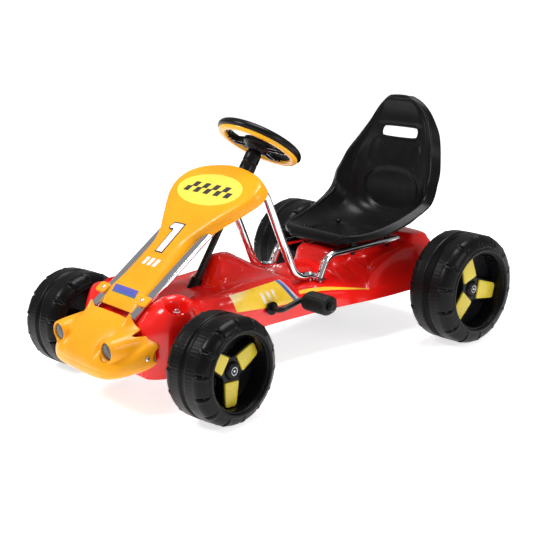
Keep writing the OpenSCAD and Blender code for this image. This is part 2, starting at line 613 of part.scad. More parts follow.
module front_rim(s) {
  color(SATIN) knuckle_turned(s) wheel_turned(s, front_wheel_x, front_axle_y, front_radius)
    rotate([0, 0, 90 + s * front_spoke]) wheel_rim(front_width, 74.2, front_face, -38);
}
module front_inserts(s) {
  color(PALE_YELLOW) knuckle_turned(s) wheel_turned(s, front_wheel_x, front_axle_y, front_radius)
    rotate([0, 0, 90 + s * front_spoke]) wheel_inserts(74.2, front_face, 47, 36, 29);
}
module front_cap(s) {
  color(BLACK) knuckle_turned(s) wheel_turned(s, front_wheel_x, front_axle_y, front_radius)
    wheel_cap(front_face);
}
module rear_tyre(s) {
  color(BLACK) wheel_turned(s, rear_wheel_x, rear_axle_y, rear_radius)
    tyre(rear_width, rear_radius, 84.7, 26, 18, 4);
}
module rear_strip(s) {
  color("#141415") wheel_turned(s, rear_wheel_x, rear_axle_y, rear_radius) rotate_extrude($fn = 96)
    polygon([[rear_radius - 4, -9], [rear_radius - 0.4, -9], [rear_radius - 0.4, 9], [rear_radius - 4, 9]]);
}
module rear_rim(s) {
  color(SATIN) wheel_turned(s, rear_wheel_x, rear_axle_y, rear_radius)
    rotate([0, 0, 90 + s * rear_spoke]) wheel_rim(rear_width, 84.7, rear_face, -42);
}
module rear_inserts(s) {
  color(PALE_YELLOW) wheel_turned(s, rear_wheel_x, rear_axle_y, rear_radius)
    rotate([0, 0, 90 + s * rear_spoke]) wheel_inserts(84.7, rear_face, 58, 42, 34);
}
module rear_cap(s) {
  color(BLACK) wheel_turned(s, rear_wheel_x, rear_axle_y, rear_radius) wheel_cap(rear_face);
}

// ---------- drive ----------
rear_end_x = rear_wheel_x + rear_face;
module rear_axle() {
  color(STEEL) x_cylinder(1 - rear_end_x, rear_end_x - 1, rear_axle_y, rear_radius, axle_d);
}
// Spacers between bush and hub, and the end nuts
module rear_axle_fittings() {
  color(STEEL) for (s = [-1, 1]) difference() {
    union() {
      x_cylinder(s * 153, s * (rear_wheel_x - 42.2), rear_axle_y, rear_radius, 20);
      x_cylinder(s * (rear_end_x - 5.5), s * (rear_end_x + 1), rear_axle_y, rear_radius, 20);
    }
    x_cylinder(s * 150, s * (rear_wheel_x + 60), rear_axle_y, rear_radius, axle_d);
  }
}
module side_bushes(x0, x1, y, z) {
  color(WHITE) for (s = [-1, 1]) difference() {
    union() {
      x_cylinder(s * x0, s * x1, y, z, 22);
      x_cylinder(s * (x1 - 2.5), s * x1, y, z, 28);
    }
    x_cylinder(s * (x0 - 2), s * (x1 + 2), y, z, axle_d + run_fit);
  }
}
module crank_bushes() { side_bushes(98, 116, crank_axis[1], crank_axis[2]); }
module rear_axle_bushes() { side_bushes(132, 151, rear_axle_y, rear_radius); }
function pitch_r(n) = chain_pitch / (2 * sin(180 / n));
module sprocket(n, hub) {
  r = pitch_r(n);
  difference() {
    union() {
      linear_extrude(3, center = true) polygon([for (i = [0:n - 1], k = [0:3])
        let (a = 360 / n * (i + [-0.30, -0.12, 0.12, 0.30][k]), q = [r - 3.6, r + 2.2, r + 2.2, r - 3.6][k])
        q * [cos(a), sin(a)]]);
      cylinder(d = hub, h = 14, center = true);
    }
    cylinder(d = axle_d, h = 60, center = true);
    for (a = [0:72:359]) rotate([0, 0, a]) translate([r * 0.62, 0, -10]) cylinder(d = r * 0.26, h = 20);
  }
}
module rear_sprocket() {
  color(STEEL) translate([chain_x, rear_axle_y, rear_radius]) rotate([0, 90, 0])
    sprocket(rear_teeth, 20);
}
module crank_sprocket() {
  color(STEEL) translate([chain_x, crank_axis[1], crank_axis[2]]) rotate([0, 90, 0])
    sprocket(crank_teeth, 22);
}
// Outline round both sprockets at e outside their pitch circles, in [y, z]
function belt(e) = let (a = [crank_axis[1], crank_axis[2]], b = [rear_axle_y, rear_radius],
    v = b - a, c = norm(v),
    r1 = pitch_r(crank_teeth) + e, r2 = pitch_r(rear_teeth) + e,
    t = atan2(v[1], v[0]), q = acos((r1 - r2) / c))
    concat(arc(a, r1, t + q, t + 360 - q, 30), arc(b, r2, t - q, t + q, 24));
module chain() {
  a = [crank_axis[1], crank_axis[2]];
  b = [rear_axle_y, rear_radius];
  v = b - a;
  t = atan2(v[1], v[0]);
  q = acos((pitch_r(crank_teeth) - pitch_r(rear_teeth)) / norm(v));
  color(STEEL) translate([chain_x, 0, 0]) rotate([90, 0, 90]) union() {
    for (s = [-1, 1]) translate([0, 0, s * 2.9]) linear_extrude(1.4, center = true) difference() {
      polygon(belt(4));
      polygon(belt(-4));
    }
    // Rollers along the two straight runs
    for (s = [-1, 1]) {
      p0 = a + pitch_r(crank_teeth) * [cos(t + s * q), sin(t + s * q)];
      p1 = b + pitch_r(rear_teeth) * [cos(t + s * q), sin(t + s * q)];
      n = floor(norm(p1 - p0) / chain_pitch) - 2;
      for (i = [2:n - 1]) let (p = p0 + (p1 - p0) * (i + 0.5) / (n + 2))
        translate([p[0], p[1], 0]) cylinder(d = 7, h = 5, center = true, $fn = 24);
    }
  }
}
module crank_turned() {
  translate(crank_axis) rotate([crank_rest, 0, 0]) children();
}
spindle_end = arm_x + 84;
module crank_shaft() {
  color(BLACK) crank_turned() bar([[spindle_end, crank_throw], [arm_x, crank_throw], [arm_x, 0],
    [-arm_x, 0], [-arm_x, -crank_throw], [-spindle_end, -crank_throw]], 13, axle_d);
}
pedal_w = 46;
pedal_h = 38;
module pedal(s) {
  // Eight-sided tread block with rounded corners
  x = pedal_w / 2 - 12;
  y = pedal_h / 2 - 11;
  core = concat(arc([x, y], 11, 0, 80, 5), arc([-x, y], 11, 100, 180, 5),
    arc([-x, -y], 11, 180, 260, 5), arc([x, -y], 11, 280, 360, 5));
  color(BLACK) crank_turned() translate([s * (arm_x + 13.6), s * crank_throw, 0]) rotate([0, s * 90, 0])
    rotate([0, 0, 90]) difference() {
      linear_extrude(spindle_end - arm_x - 20) polygon(core);
      translate([0, 0, -1]) cylinder(d = axle_d + run_fit, h = 100);
    }
}
module pedal_caps() {
  color(SATIN) crank_turned() for (s = [-1, 1])
    translate([s * (spindle_end - 5.6), s * crank_throw, 0]) rotate([0, s * 90, 0])
      rotate_extrude()
        polygon([[axle_d / 2, 0], [10, 0], [10, 5], [7, 9], [0, 9], [0, 5.7], [axle_d / 2, 5.7]]);
}

body_shell();
underbody_pan();
nose_bumper();
headlight_lenses();
nose_screws();
dash_cowl();
frame_tube(1);  // frame_tube_left
frame_tube(-1);  // frame_tube_right
seat_rail(1);  // seat_rail_left
seat_rail(-1);  // seat_rail_right
frame_screws();
seat_shell();
seat_bolts();
seat_spacers();
column_bracket();
column_upper_bush();
column_collar();
front_beam();
kingpin_strap();
kingpins();
crank_bushes();
rear_axle_bushes();
chain();
steering_column();
column_sleeve();
steering_hub();
steering_rim();
steering_ring();
steering_cap();
knuckle(1);  // knuckle_left
knuckle(-1);  // knuckle_right
front_nut(1);  // front_nut_left
front_nut(-1);  // front_nut_right
tie_rod();
front_tyre(1);  // front_left_tyre
front_rim(1);  // front_left_rim
front_inserts(1);  // front_left_inserts
front_cap(1);  // front_left_cap
front_tyre(-1);  // front_right_tyre
front_rim(-1);  // front_right_rim
front_inserts(-1);  // front_right_inserts
front_cap(-1);  // front_right_cap
rear_tyre(1);  // rear_left_tyre
rear_strip(1);  // rear_left_strip
rear_rim(1);  // rear_left_rim
rear_inserts(1);  // rear_left_inserts
rear_cap(1);  // rear_left_cap
rear_tyre(-1);  // rear_right_tyre
rear_strip(-1);  // rear_right_strip
rear_rim(-1);  // rear_right_rim
rear_inserts(-1);  // rear_right_inserts
rear_cap(-1);  // rear_right_cap
rear_axle();
rear_axle_fittings();
rear_sprocket();
crank_shaft();
crank_sprocket();
pedal(1);  // pedal_left
pedal(-1);  // pedal_right
pedal_caps();
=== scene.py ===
"""Looks of the pedal go kart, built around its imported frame.

Shapes are worked out in millimetres in the kart's frame and stored in metres.
"""
import json
import math

import bmesh
import bpy
import numpy as np
from mathutils import Matrix, Vector


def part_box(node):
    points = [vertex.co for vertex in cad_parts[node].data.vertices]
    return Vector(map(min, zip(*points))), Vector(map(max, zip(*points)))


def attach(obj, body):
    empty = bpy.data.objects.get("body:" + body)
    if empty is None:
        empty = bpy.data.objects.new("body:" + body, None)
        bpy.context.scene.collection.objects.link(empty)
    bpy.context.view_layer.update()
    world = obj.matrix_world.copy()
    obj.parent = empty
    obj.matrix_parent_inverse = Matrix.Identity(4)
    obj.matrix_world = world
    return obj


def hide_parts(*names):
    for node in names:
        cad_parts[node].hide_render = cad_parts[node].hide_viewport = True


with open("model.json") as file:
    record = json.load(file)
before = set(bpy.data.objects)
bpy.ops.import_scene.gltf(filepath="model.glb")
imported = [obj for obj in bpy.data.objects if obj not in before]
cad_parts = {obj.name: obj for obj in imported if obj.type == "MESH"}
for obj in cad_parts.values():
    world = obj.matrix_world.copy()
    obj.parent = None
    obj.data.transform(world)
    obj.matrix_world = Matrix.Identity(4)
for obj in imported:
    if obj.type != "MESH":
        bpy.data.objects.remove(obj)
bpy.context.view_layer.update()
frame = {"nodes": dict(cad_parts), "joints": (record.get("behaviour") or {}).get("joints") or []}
MM = 0.001

# ---------- driving sizes, from the frame ----------


def centre(node):
    low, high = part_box(node)
    return (low + high) / 2 / MM


def joint(name):
    return next(j for j in frame["joints"] if j["name"] == name)


KINGPIN = Vector(joint("left_knuckle_turn")["pos_m"]) / MM
SPIN_AXIS = Vector(joint("front_left_spin")["axis"])
REST_STEER = math.atan2(SPIN_AXIS.y, SPIN_AXIS.x)
FRONT_AXLE_Y = KINGPIN.y
FRONT_R = KINGPIN.z
FRONT_X = KINGPIN.x + (Vector(joint("front_left_spin")["pos_m"]) / MM - KINGPIN).length
FRONT_W = 109
REAR_AXLE_Y = joint("rear_axle_spin")["pos_m"][1] / MM
REAR_R = joint("rear_axle_spin")["pos_m"][2] / MM
REAR_W = 115.5
REAR_X = centre("rear_left_tyre").x
COLUMN_FOOT = Vector(joint("steering_turn")["pos_m"]) / MM
COLUMN_DIR = Vector(joint("steering_turn")["axis"])
COLUMN_TILT = math.atan2(COLUMN_DIR.y, COLUMN_DIR.z)
WHEEL_UP = 326
BRACKET_UP = 231
CRANK = Vector(joint("crank_spin")["pos_m"]) / MM
TUBE_X = 65
RAIL_X = 78
TUBE_R = 9
WALL = 3.5


# ---------- points and curves ----------


def cut(points, rounds):
    """Corner cutting that keeps both ends."""
    p = np.array(points, float)
    for _ in range(rounds):
        a, b = p[:-1], p[1:]
        q = np.stack([a * 0.75 + b * 0.25, a * 0.25 + b * 0.75], 1).reshape(-1, *p.shape[1:])
        q[0], q[-1] = p[0], p[-1]
        p = q
    return p


def spline(rows, steps):
    """Catmull-Rom rows between the given rows, steps per gap."""
    rows = np.array(rows, float)
    n = len(rows) - 1
    counts = [steps] * n if isinstance(steps, int) else steps
    out = []
    for i in range(n):
        a, b, c, d = rows[max(i - 1, 0)], rows[i], rows[i + 1], rows[min(i + 2, n)]
        for t in np.arange(counts[i]) / counts[i]:
            out.append(b + (c - a) * t / 2 + (2 * a - 5 * b + 4 * c - d) * t ** 2 / 2
                       + (3 * b - a - 3 * c + d) * t ** 3 / 2)
    out.append(rows[-1])
    return np.array(out)


def smooth(x, low, high):
    """0 below low, 1 above high, smooth between."""
    t = np.clip((np.asarray(x, float) - low) / (high - low), 0, 1)
    return t * t * (3 - 2 * t)


def fillet(points, radii, step=3.0):
    """A line through 3-D points with round corners."""
    pts = [Vector(p) for p in points]
    out = [pts[0]]
    for i in range(1, len(pts) - 1):
        a = (pts[i - 1] - pts[i]).normalized()
        b = (pts[i + 1] - pts[i]).normalized()
        r = radii[i - 1] if isinstance(radii, (list, tuple)) else radii
        half = a.angle(b) / 2
        trim = r / math.tan(half)
        c = pts[i] + (a + b).normalized() * (r / math.sin(half))
        p0, p1 = pts[i] + a * trim - c, pts[i] + b * trim - c
        total = p0.angle(p1)
        n = max(4, int(total * r / step))
        for k in range(n + 1):
            t = k / n
            out.append(c + (p0 * math.sin((1 - t) * total) + p1 * math.sin(t * total)) / math.sin(total))
    out.append(pts[-1])
    return out


# ---------- meshes ----------


def grid_faces(rows, cols, wrap_rows=False, wrap_cols=False):
    faces = []
    for i in range(rows if wrap_rows else rows - 1):
        for j in range(cols if wrap_cols else cols - 1):
            i2, j2 = (i + 1) % rows, (j + 1) % cols
            faces.append((i * cols + j, i * cols + j2, i2 * cols + j2, i2 * cols + j))
    return faces


class Shape:
    """Collects closed surfaces for one piece, in millimetres."""

    def __init__(self):
        self.verts = []
        self.faces = []

    def add(self, verts, faces):
        base = len(self.verts)
        self.verts.extend(tuple(float(c) for c in v) for v in verts)
        self.faces.extend(tuple(base + i for i in f) for f in faces)
        return self

    def grid(self, points, wrap_rows=False, wrap_cols=False, caps=False):
        p = np.array(points, float)
        rows, cols = p.shape[:2]
        faces = grid_faces(rows, cols, wrap_rows, wrap_cols)
        if caps:
            faces.append(tuple(range(cols - 1, -1, -1)))
            faces.append(tuple((rows - 1) * cols + j for j in range(cols)))
        return self.add(p.reshape(-1, 3), faces)

    def turned(self, profile, place=Matrix.Identity(4), segments=64):
        """A closed profile of (radius, along) turned round place's Z."""
        rings = []
        for k in range(segments):
            a = 2 * math.pi * k / segments
            rings.append([place @ Vector((r * math.cos(a), r * math.sin(a), z)) for r, z in profile])
        rings = [[tuple(v) for v in ring] for ring in rings]
        return self.grid(rings, wrap_rows=True, wrap_cols=True)

    def spun(self, profile, place=Matrix.Identity(4), segments=48):
        """An open profile whose two ends lie on the axis."""
        inner = profile[1:-1]
        verts = [tuple(place @ Vector((0, 0, profile[0][1]))),
                 tuple(place @ Vector((0, 0, profile[-1][1])))]
        for k in range(segments):
            a = 2 * math.pi * k / segments
            verts += [tuple(place @ Vector((r * math.cos(a), r * math.sin(a), z))) for r, z in inner]
        m = len(inner)
        faces = []
        for k in range(segments):
            a, b = 2 + k * m, 2 + (k + 1) % segments * m
            faces.append((0, b, a))
            faces.append((1, a + m - 1, b + m - 1))
            faces += [(a + j, b + j, b + j + 1, a + j + 1) for j in range(m - 1)]
        return self.add(verts, faces)

    def sweep(self, path, radius, sides=24, squash=None):
        """A round bar along a path. squash(i, n) gives (width, height) factors."""
        pts = [Vector(p) for p in path]
        n = len(pts)
        tangents = [(pts[min(i + 1, n - 1)] - pts[max(i - 1, 0)]).normalized() for i in range(n)]
        side = tangents[0].orthogonal().normalized()
        if abs(tangents[0].x) < 0.9:
            side = (Vector((1, 0, 0)) - tangents[0] * tangents[0].x).normalized()
        rings = []
        for i in range(n):
            side = (side - tangents[i] * side.dot(tangents[i])).normalized()
            up = tangents[i].cross(side)
            w, h = squash(i, n) if squash else (1, 1)
            rings.append([tuple(pts[i] + side * (radius * w * math.cos(a)) + up
                                * (radius * h * math.sin(a)))
                          for a in np.arange(sides) * 2 * math.pi / sides])
        return self.grid(rings, wrap_cols=True, caps=True)

    def prism(self, outline, depth, place=Matrix.Identity(4), bevel=0.0, crown=0.0):
        """A flat outline (counter-clockwise x, y) made thick, with a rounded top edge and a crowned top."""
        o = np.array(outline, float)
        mid = o.mean(0)
        size = np.abs(o - mid).max()
        rings = [(0.0, 0.0)]
        for t in (0, 0.3, 0.65, 1.0) if bevel else (0,):
            rings.append((bevel * (1 - math.cos(t * math.pi / 2)), depth - bevel + bevel
                          * math.sin(t * math.pi / 2)))
        if crown:
            rings += [(bevel + size * f, depth + crown * (1 - (1 - f / 0.9) ** 2))
                      for f in (0.2, 0.45, 0.7)]
        layers = []
        for inset, z in rings:
            scale = 1 - inset / size
            layers.append([tuple(place @ Vector((*(mid + (q - mid) * scale), z))) for q in o])
        return self.grid(layers, wrap_cols=True, caps=True)

    def mesh(self, name):
        m = bpy.data.meshes.new(name)
        m.from_pydata([tuple(c * MM for c in v) for v in self.verts], [], self.faces)
        b = bmesh.new()
        b.from_mesh(m)
        bmesh.ops.recalc_face_normals(b, faces=b.faces)
        b.to_mesh(m)
        b.free()
        return m


def loose(shape, name):
    """An object that is no piece yet."""
    obj = bpy.data.objects.new(name, shape.mesh(name) if isinstance(shape, Shape) else shape)
    bpy.context.scene.collection.objects.link(obj)
    return obj


def applied(obj):
    """Puts the object's modifiers into its mesh."""
    bpy.context.view_layer.update()
    mesh = bpy.data.meshes.new_from_object(obj.evaluated_get(bpy.context.evaluated_depsgraph_get()))
    obj.modifiers.clear()
    obj.data = mesh
    return obj


def boolean(obj, other, operation):
    m = obj.modifiers.new("cut", "BOOLEAN")
    m.operation, m.object, m.solver = operation, other, "MANIFOLD"
    applied(obj)
    bpy.data.objects.remove(other)
    return obj


def carve(obj, shape):
    """Cuts a closed shape out of an object."""
    return boolean(obj, loose(shape, "cutter"), "DIFFERENCE")


def piece(shape, name, body, material, replaces=(), sharp=35, modifiers=()):
    """A finished piece on a body."""
    obj = shape if isinstance(shape, bpy.types.Object) else loose(shape, name)
    obj.name = name
    for kind, values in modifiers:
        m = obj.modifiers.new(kind.lower(), kind)
        for key, value in values.items():
            setattr(m, key, value)
    if modifiers:
        applied(obj)
    obj.data.materials.clear()
    obj.data.materials.append(material)
    obj.data.shade_smooth()
    obj.data.set_sharp_from_angle(angle=math.radians(sharp))
    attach(obj, body)
    if replaces:
        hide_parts(*replaces)
    return obj


# ---------- materials ----------


class Nodes:
    """Short names for building one material's nodes."""

    def __init__(self, name):
        self.mat = bpy.data.materials.new(name)
        self.mat.use_nodes = True
        self.tree = self.mat.node_tree
        self.shader = self.tree.nodes["Principled BSDF"]
        self.coords = self.node("ShaderNodeTexCoord").outputs["Object"]

    def node(self, kind, **values):
        n = self.tree.nodes.new(kind)
        for key, value in values.items():
            if hasattr(n, key):
                setattr(n, key, value)
            else:
                n.inputs[key].default_value = value
        return n

    def link(self, a, b):
        self.tree.links.new(a, b)

    def noise(self, scale, detail=3.0, rough=0.5, stretch=None):
        n = self.node("ShaderNodeTexNoise", Scale=scale, Detail=detail, Roughness=rough)
        source = self.coords
        if stretch:
            m = self.node("ShaderNodeMapping")
            m.inputs["Scale"].default_value = stretch
            self.link(source, m.inputs["Vector"])
            source = m.outputs["Vector"]
        self.link(source, n.inputs["Vector"])
        return n.outputs["Fac"]

    def spread(self, fac, a0, a1, b0, b1):
        n = self.node("ShaderNodeMapRange")
        for key, value in zip(("From Min", "From Max", "To Min", "To Max"), (a0, a1, b0, b1)):
            n.inputs[key].default_value = value
        self.link(fac, n.inputs["Value"])
        return n.outputs["Result"]

    def mix(self, fac, a, b):
        n = self.node("ShaderNodeMix", data_type="RGBA")
        self.link(fac, n.inputs["Factor"])
        for socket, value in ((n.inputs[6], a), (n.inputs[7], b)):
            if isinstance(value, tuple):
                socket.default_value = (*value, 1)
            else:
                self.link(value, socket)
        return n.outputs[2]

    def bump(self, height, strength, distance, under=None):
        n = self.node("ShaderNodeBump", Strength=strength, Distance=distance)
        self.link(height, n.inputs["Height"])
        if under:
            self.link(under, n.inputs["Normal"])
        return n.outputs["Normal"]


def moulded(name, color, rough, vary=0.05, grain=900.0, grain_depth=0.00004, coat=0.0, scuffs=0.0,
            waves=0.0):
    """Moulded plastic: faint colour drift, fine grain, uneven gloss, optional scuffs and shrink waves."""
    n = Nodes(name)
    light = tuple(min(c * (1 + vary * 2), 1) for c in color)
    dark = tuple(c * (1 - vary * 2) for c in color)
    drift = n.noise(9.0, 4.0)
    base = n.mix(n.spread(drift, 0.35, 0.65, 0.0, 1.0), dark, light)
    if scuffs:
        marks = n.spread(n.noise(60.0, 8.0, 0.7, (1.0, 6.0, 1.6)), 0.66, 0.74, 0.0, scuffs)
        base = n.mix(marks, base, tuple(min(c * 1.25 + 0.02, 1) for c in color))
    n.link(base, n.shader.inputs["Base Color"])
    n.link(n.spread(n.noise(35.0, 5.0, 0.6), 0.3, 0.7, rough * 0.82, min(rough * 1.22, 1)),
           n.shader.inputs["Roughness"])
    normal = n.bump(n.noise(grain, 2.0), 0.5, grain_depth)
    if waves:
        normal = n.bump(n.noise(14.0, 1.0), 0.35, waves, normal)
    n.link(normal, n.shader.inputs["Normal"])
    n.shader.inputs["Coat Weight"].default_value = coat
    n.shader.inputs["Coat Roughness"].default_value = 0.08
    n.shader.inputs["Specular IOR Level"].default_value = 0.13 if max(color) < 0.03 else 0.30
    return n.mat


def metal(name, color, rough, brush=None, grain=0.00002):
    """Plated or painted metal with fine drawing lines and a little uneven polish."""
    n = Nodes(name)
    drift = n.spread(n.noise(22.0, 5.0, 0.6), 0.3, 0.7, 0.0, 1.0)
    n.link(n.mix(drift, tuple(c * 0.9 for c in color), color), n.shader.inputs["Base Color"])
    n.link(n.spread(n.noise(70.0, 4.0, 0.6, brush), 0.3, 0.7, rough * 0.7, rough * 1.5),
           n.shader.inputs["Roughness"])
    n.link(n.bump(n.noise(420.0, 3.0, 0.6, brush), 0.4, grain), n.shader.inputs["Normal"])
    n.shader.inputs["Metallic"].default_value = 1.0
    return n.mat


def printed(name, colours, along, low, high, rough=0.28):
    """Label film whose colour runs through stops from low to high along an axis vector, in millimetres."""
    n = Nodes(name)
    dot = n.node("ShaderNodeVectorMath", operation="DOT_PRODUCT")
    n.link(n.coords, dot.inputs[0])
    dot.inputs[1].default_value = along
    t = n.spread(dot.outputs["Value"], low * MM, high * MM, 0.0, 1.0)
    ramp = n.node("ShaderNodeValToRGB")
    ramp.color_ramp.elements[0].position = colours[0][0]
    ramp.color_ramp.elements[0].color = (*colours[0][1], 1)
    ramp.color_ramp.elements[1].position = colours[-1][0]
    ramp.color_ramp.elements[1].color = (*colours[-1][1], 1)
    for place, color in colours[1:-1]:
        ramp.color_ramp.elements.new(place).color = (*color, 1)
    n.link(t, ramp.inputs["Fac"])
    dots = n.spread(n.noise(700.0, 2.0), 0.4, 0.7, 0.0, 0.06)
    n.link(n.mix(dots, ramp.outputs["Color"], (0.9, 0.9, 0.88)), n.shader.inputs["Base Color"])
    n.link(n.spread(n.noise(40.0, 4.0), 0.3, 0.7, rough * 0.8, rough * 1.3), n.shader.inputs["Roughness"])
    n.link(n.bump(n.noise(160.0, 3.0), 0.3, 0.00003), n.shader.inputs["Normal"])
    return n.mat


RED = moulded("red plastic", (0.80, 0.010, 0.007), 0.20, vary=0.04, coat=0.30, grain=500.0, waves=0.0012)
YELLOW = moulded("orange yellow plastic", (0.86, 0.345, 0.004), 0.34, vary=0.035, coat=0.08, waves=0.0006)
BLACK_SEAT = moulded("seat plastic", (0.005, 0.005, 0.0055), 0.30, vary=0.1, grain=1300.0,
                     grain_depth=0.00008, scuffs=0.04)
BLACK_WHEEL = moulded("wheel plastic", (0.0035, 0.0035, 0.004), 0.33, vary=0.12, grain=800.0,
                      grain_depth=0.00006, scuffs=0.05)
BLACK_RIM = moulded("rim plastic", (0.005, 0.005, 0.006), 0.26, vary=0.1, grain=900.0, scuffs=0.08)
BLACK_SATIN = moulded("satin black plastic", (0.006, 0.006, 0.007), 0.26, vary=0.1, scuffs=0.10)
BLACK_PAINT = moulded("black painted steel", (0.012, 0.012, 0.013), 0.3, vary=0.1, coat=0.2, scuffs=0.08)
RING_YELLOW = moulded("ring yellow plastic", (0.85, 0.42, 0.012), 0.32, vary=0.03, coat=0.1)
INSERT_YELLOW = moulded("insert yellow plastic", (0.56, 0.44, 0.030), 0.3, vary=0.05, coat=0.15,
                        scuffs=0.05)
GREY_LENS = moulded("lens plastic", (0.032, 0.029, 0.034), 0.12, vary=0.08, coat=0.3, grain=300.0)
WHITE_NYLON = moulded("white nylon", (0.75, 0.74, 0.70), 0.5, vary=0.03)
CHROME = metal("chrome", (0.80, 0.81, 0.84), 0.07, brush=(1.0, 1.0, 1.0))
ZINC = metal("zinc plate", (0.60, 0.61, 0.63), 0.28)
STEEL = metal("dark steel", (0.20, 0.20, 0.21), 0.42)
LABEL_YELLOW = printed("label yellow", [(0, (0.93, 0.66, 0.05)), (1, (0.95, 0.72, 0.07))], (1, 0, 0),
                       -100, 100)
INK_BLACK = printed("ink black", [(0, (0.012, 0.012, 0.012)), (1, (0.02, 0.02, 0.02))], (1, 0, 0), -100,
                    100)
INK_WHITE = printed("ink white", [(0, (0.78, 0.75, 0.77)), (1, (0.85, 0.83, 0.85))], (1, 0, 0), -100, 100)
INK_BLUE = printed("ink blue", [(0, (0.02, 0.10, 0.10)), (0.5, (0.03, 0.07, 0.32)),
                                (1, (0.10, 0.16, 0.50))], (0, 0, 1), 132, 188)
INK_PALE = printed("ink pale", [(0, (0.10, 0.30, 0.12)), (0.3, (0.55, 0.65, 0.75)),
                                (1, (0.25, 0.35, 0.62))], (0, 0, 1), 132, 188)
PANEL_YELLOW = printed("panel yellow", [(0, (0.92, 0.52, 0.01)), (1, (0.92, 0.56, 0.01))], (0, 1, 0), 0,
                       200)
# Yellow flank panel whose colour turns whitish towards its upper front corner: that whitish end is a
# painted highlight, not print.
PANEL_PAINTED_HIGHLIGHT = printed("panel yellow painted highlight", [(0, (0.93, 0.58, 0.01)), (0.55, (0.93, 0.60, 0.02)),
                                    (0.85, (0.93, 0.78, 0.45)),
                                    (1, (0.92, 0.80, 0.74))], (0, -0.45, 0.9), 176, 244)
STRIPE_BLUE = printed("stripe blue", [(0, (0.03, 0.22, 0.04)), (0.35, (0.06, 0.07, 0.40)),
                                      (1, (0.10, 0.09, 0.42))],
                      (0, 0.55, 0.84), -24, 2)
PEDAL_BLACK = moulded("pedal rubber", (0.012, 0.012, 0.012), 0.42, vary=0.15, grain=1100.0,
                      grain_depth=0.0002, scuffs=0.25)


# ---------- wheels ----------


def wheel_place(side, x, y, z, turn=0.0):
    """Wheel frame: +Z outwards, +Y to the kart's rear, +X down on the left and up on the right."""
    place = Matrix.Translation((side * x, y, z)) @ Matrix.Rotation(side * math.pi / 2, 4, "Y")
    if turn:
        pin = Vector((side * KINGPIN.x, KINGPIN.y, 0))
        place = Matrix.Translation(pin) @ Matrix.Rotation(turn, 4, "Z") @ Matrix.Translation(-pin) @ place
    return place


def rounded(points, rounds=3):
    return [tuple(p) for p in cut(points, rounds)]


NOTCHES = 14
NOTCH_STEPS = 26


def tyre_surface(width, radius, opening, shoulder, groove):
    """Half profile from the middle of the tread to the inside of the opening: (radius, along)."""
    half = width / 2
    g = groove
    line = [(radius - g[1], 0.0), (radius - g[1], g[0] * 0.30), (radius - 0.2, g[0] * 0.5 + 1.0)]
    edge = half - shoulder
    line += [(radius - 0.15 * k, g[0] * 0.5 + 1 + (edge - g[0] * 0.5 - 1) * k / 5) for k in range(1, 5)]
    for k in range(13):
        a = math.radians(90 - 84 * k / 12)
        line.append((radius - shoulder * 1.08 + (shoulder * 1.08 - 0.6) * math.sin(a),
                     edge + (shoulder - 1.5) * math.cos(a)))
    low = line[-1][0]
    # Sidewall with a raised lip round the opening
    line += [(low - 3, half - 1.6), (opening + 10.5, half - 2.6), (opening + 8.5, half - 1.4),
             (opening + 6, half - 0.1),
             (opening + 3, half), (opening + 0.8, half - 1.6), (opening - 0.2, half - 4.5),
             (opening - 0.3, half - 12)]
    return line


def wheel_band(outer, inner, theta, place):
    """A closed band: shaped outer points and a plain inner profile, both turned round the wheel's axis."""
    skin = [[(q[0] * math.cos(a), q[0] * math.sin(a), q[1]) for q in inner] for a in theta]
    ring = np.concatenate([outer, np.array(skin)], 1)
    pts = ring.reshape(-1, 3) @ np.array(place.to_3x3()).T + np.array(place.translation)
    return Shape().grid(pts.reshape(ring.shape), wrap_rows=True, wrap_cols=True)


def tyre(place, width, radius, opening, shoulder, groove, name, body, node):
    half_line = np.array(tyre_surface(width, radius, opening, shoulder, groove))
    half_line = spline(half_line, 2)
    along = np.concatenate([-half_line[::-1, 1], half_line[1:, 1]])
    radial = np.concatenate([half_line[::-1, 0], half_line[1:, 0]])
    count = NOTCHES * NOTCH_STEPS
    theta = np.arange(count) * 2 * math.pi / count
    r = np.tile(radial, (count, 1))
    z = np.tile(along, (count, 1))
    step = 2 * math.pi / NOTCHES
    local = (theta + step / 2) % step - step / 2
    arc = local[:, None] * r
    # Notches over the shoulder, each with a raised heel on one side and a stud at its foot
    half = width / 2
    over = smooth(r, opening + 11, opening + 14) * smooth(np.abs(z), half - shoulder - 2, half - shoulder
                                                          + 6)
    dip = np.exp(-((arc / 1.9) ** 2)) * 3.2 - np.exp(-(((arc - 5.4) / 3.0) ** 2)) * 1.2
    nx = np.where(np.abs(z) > half - shoulder, 1, 0.3)
    depth = dip * over
    r = r - depth * 0.8
    z = z - np.sign(z) * depth * 0.6 * nx
    foot = opening + 12.5
    stud = np.exp(-(((arc - 1) / 3.0) ** 2 + ((r - foot) / 3.0) ** 2) ** 1.5) * (np.abs(z) > half
            - 8) * 2.6
    z = np.clip(z + np.sign(z) * stud, -half, half)
    # Fine cross ribs of the tread
    tread = smooth(r, radius - 2.6, radius - 0.8) * (np.abs(z) < half - shoulder)
    r = r - tread * (0.5 + 0.5 * np.cos(theta[:, None] * count / 4)) * 0.35
    r = np.minimum(r, radius - 0.05)
    ring = np.stack([r * np.cos(theta)[:, None], r * np.sin(theta)[:, None], z], -1)
    # Inner skin that closes the section
    inner = [(opening - 0.3, half - 12), (opening + 3.6, half - 12), (opening + 3.6, half - 4),
             (radius - 8, half - 9),
             (radius - 9, -half + 9), (opening + 3.6, -half + 4), (opening + 3.6, -half + 12),
             (opening - 0.3, -half + 12)]
    return piece(wheel_band(ring, inner[1:-1], theta, place), name, body, BLACK_WHEEL,
                 [node], sharp=50)


def spoke_turns(side, angle):
    """Turn of the three spokes in the wheel frame; angle is seen from the left, 90 is up."""
    first = math.pi / 2 + side * math.radians(angle)
    return [first + k * 2 * math.pi / 3 for k in range(3)]


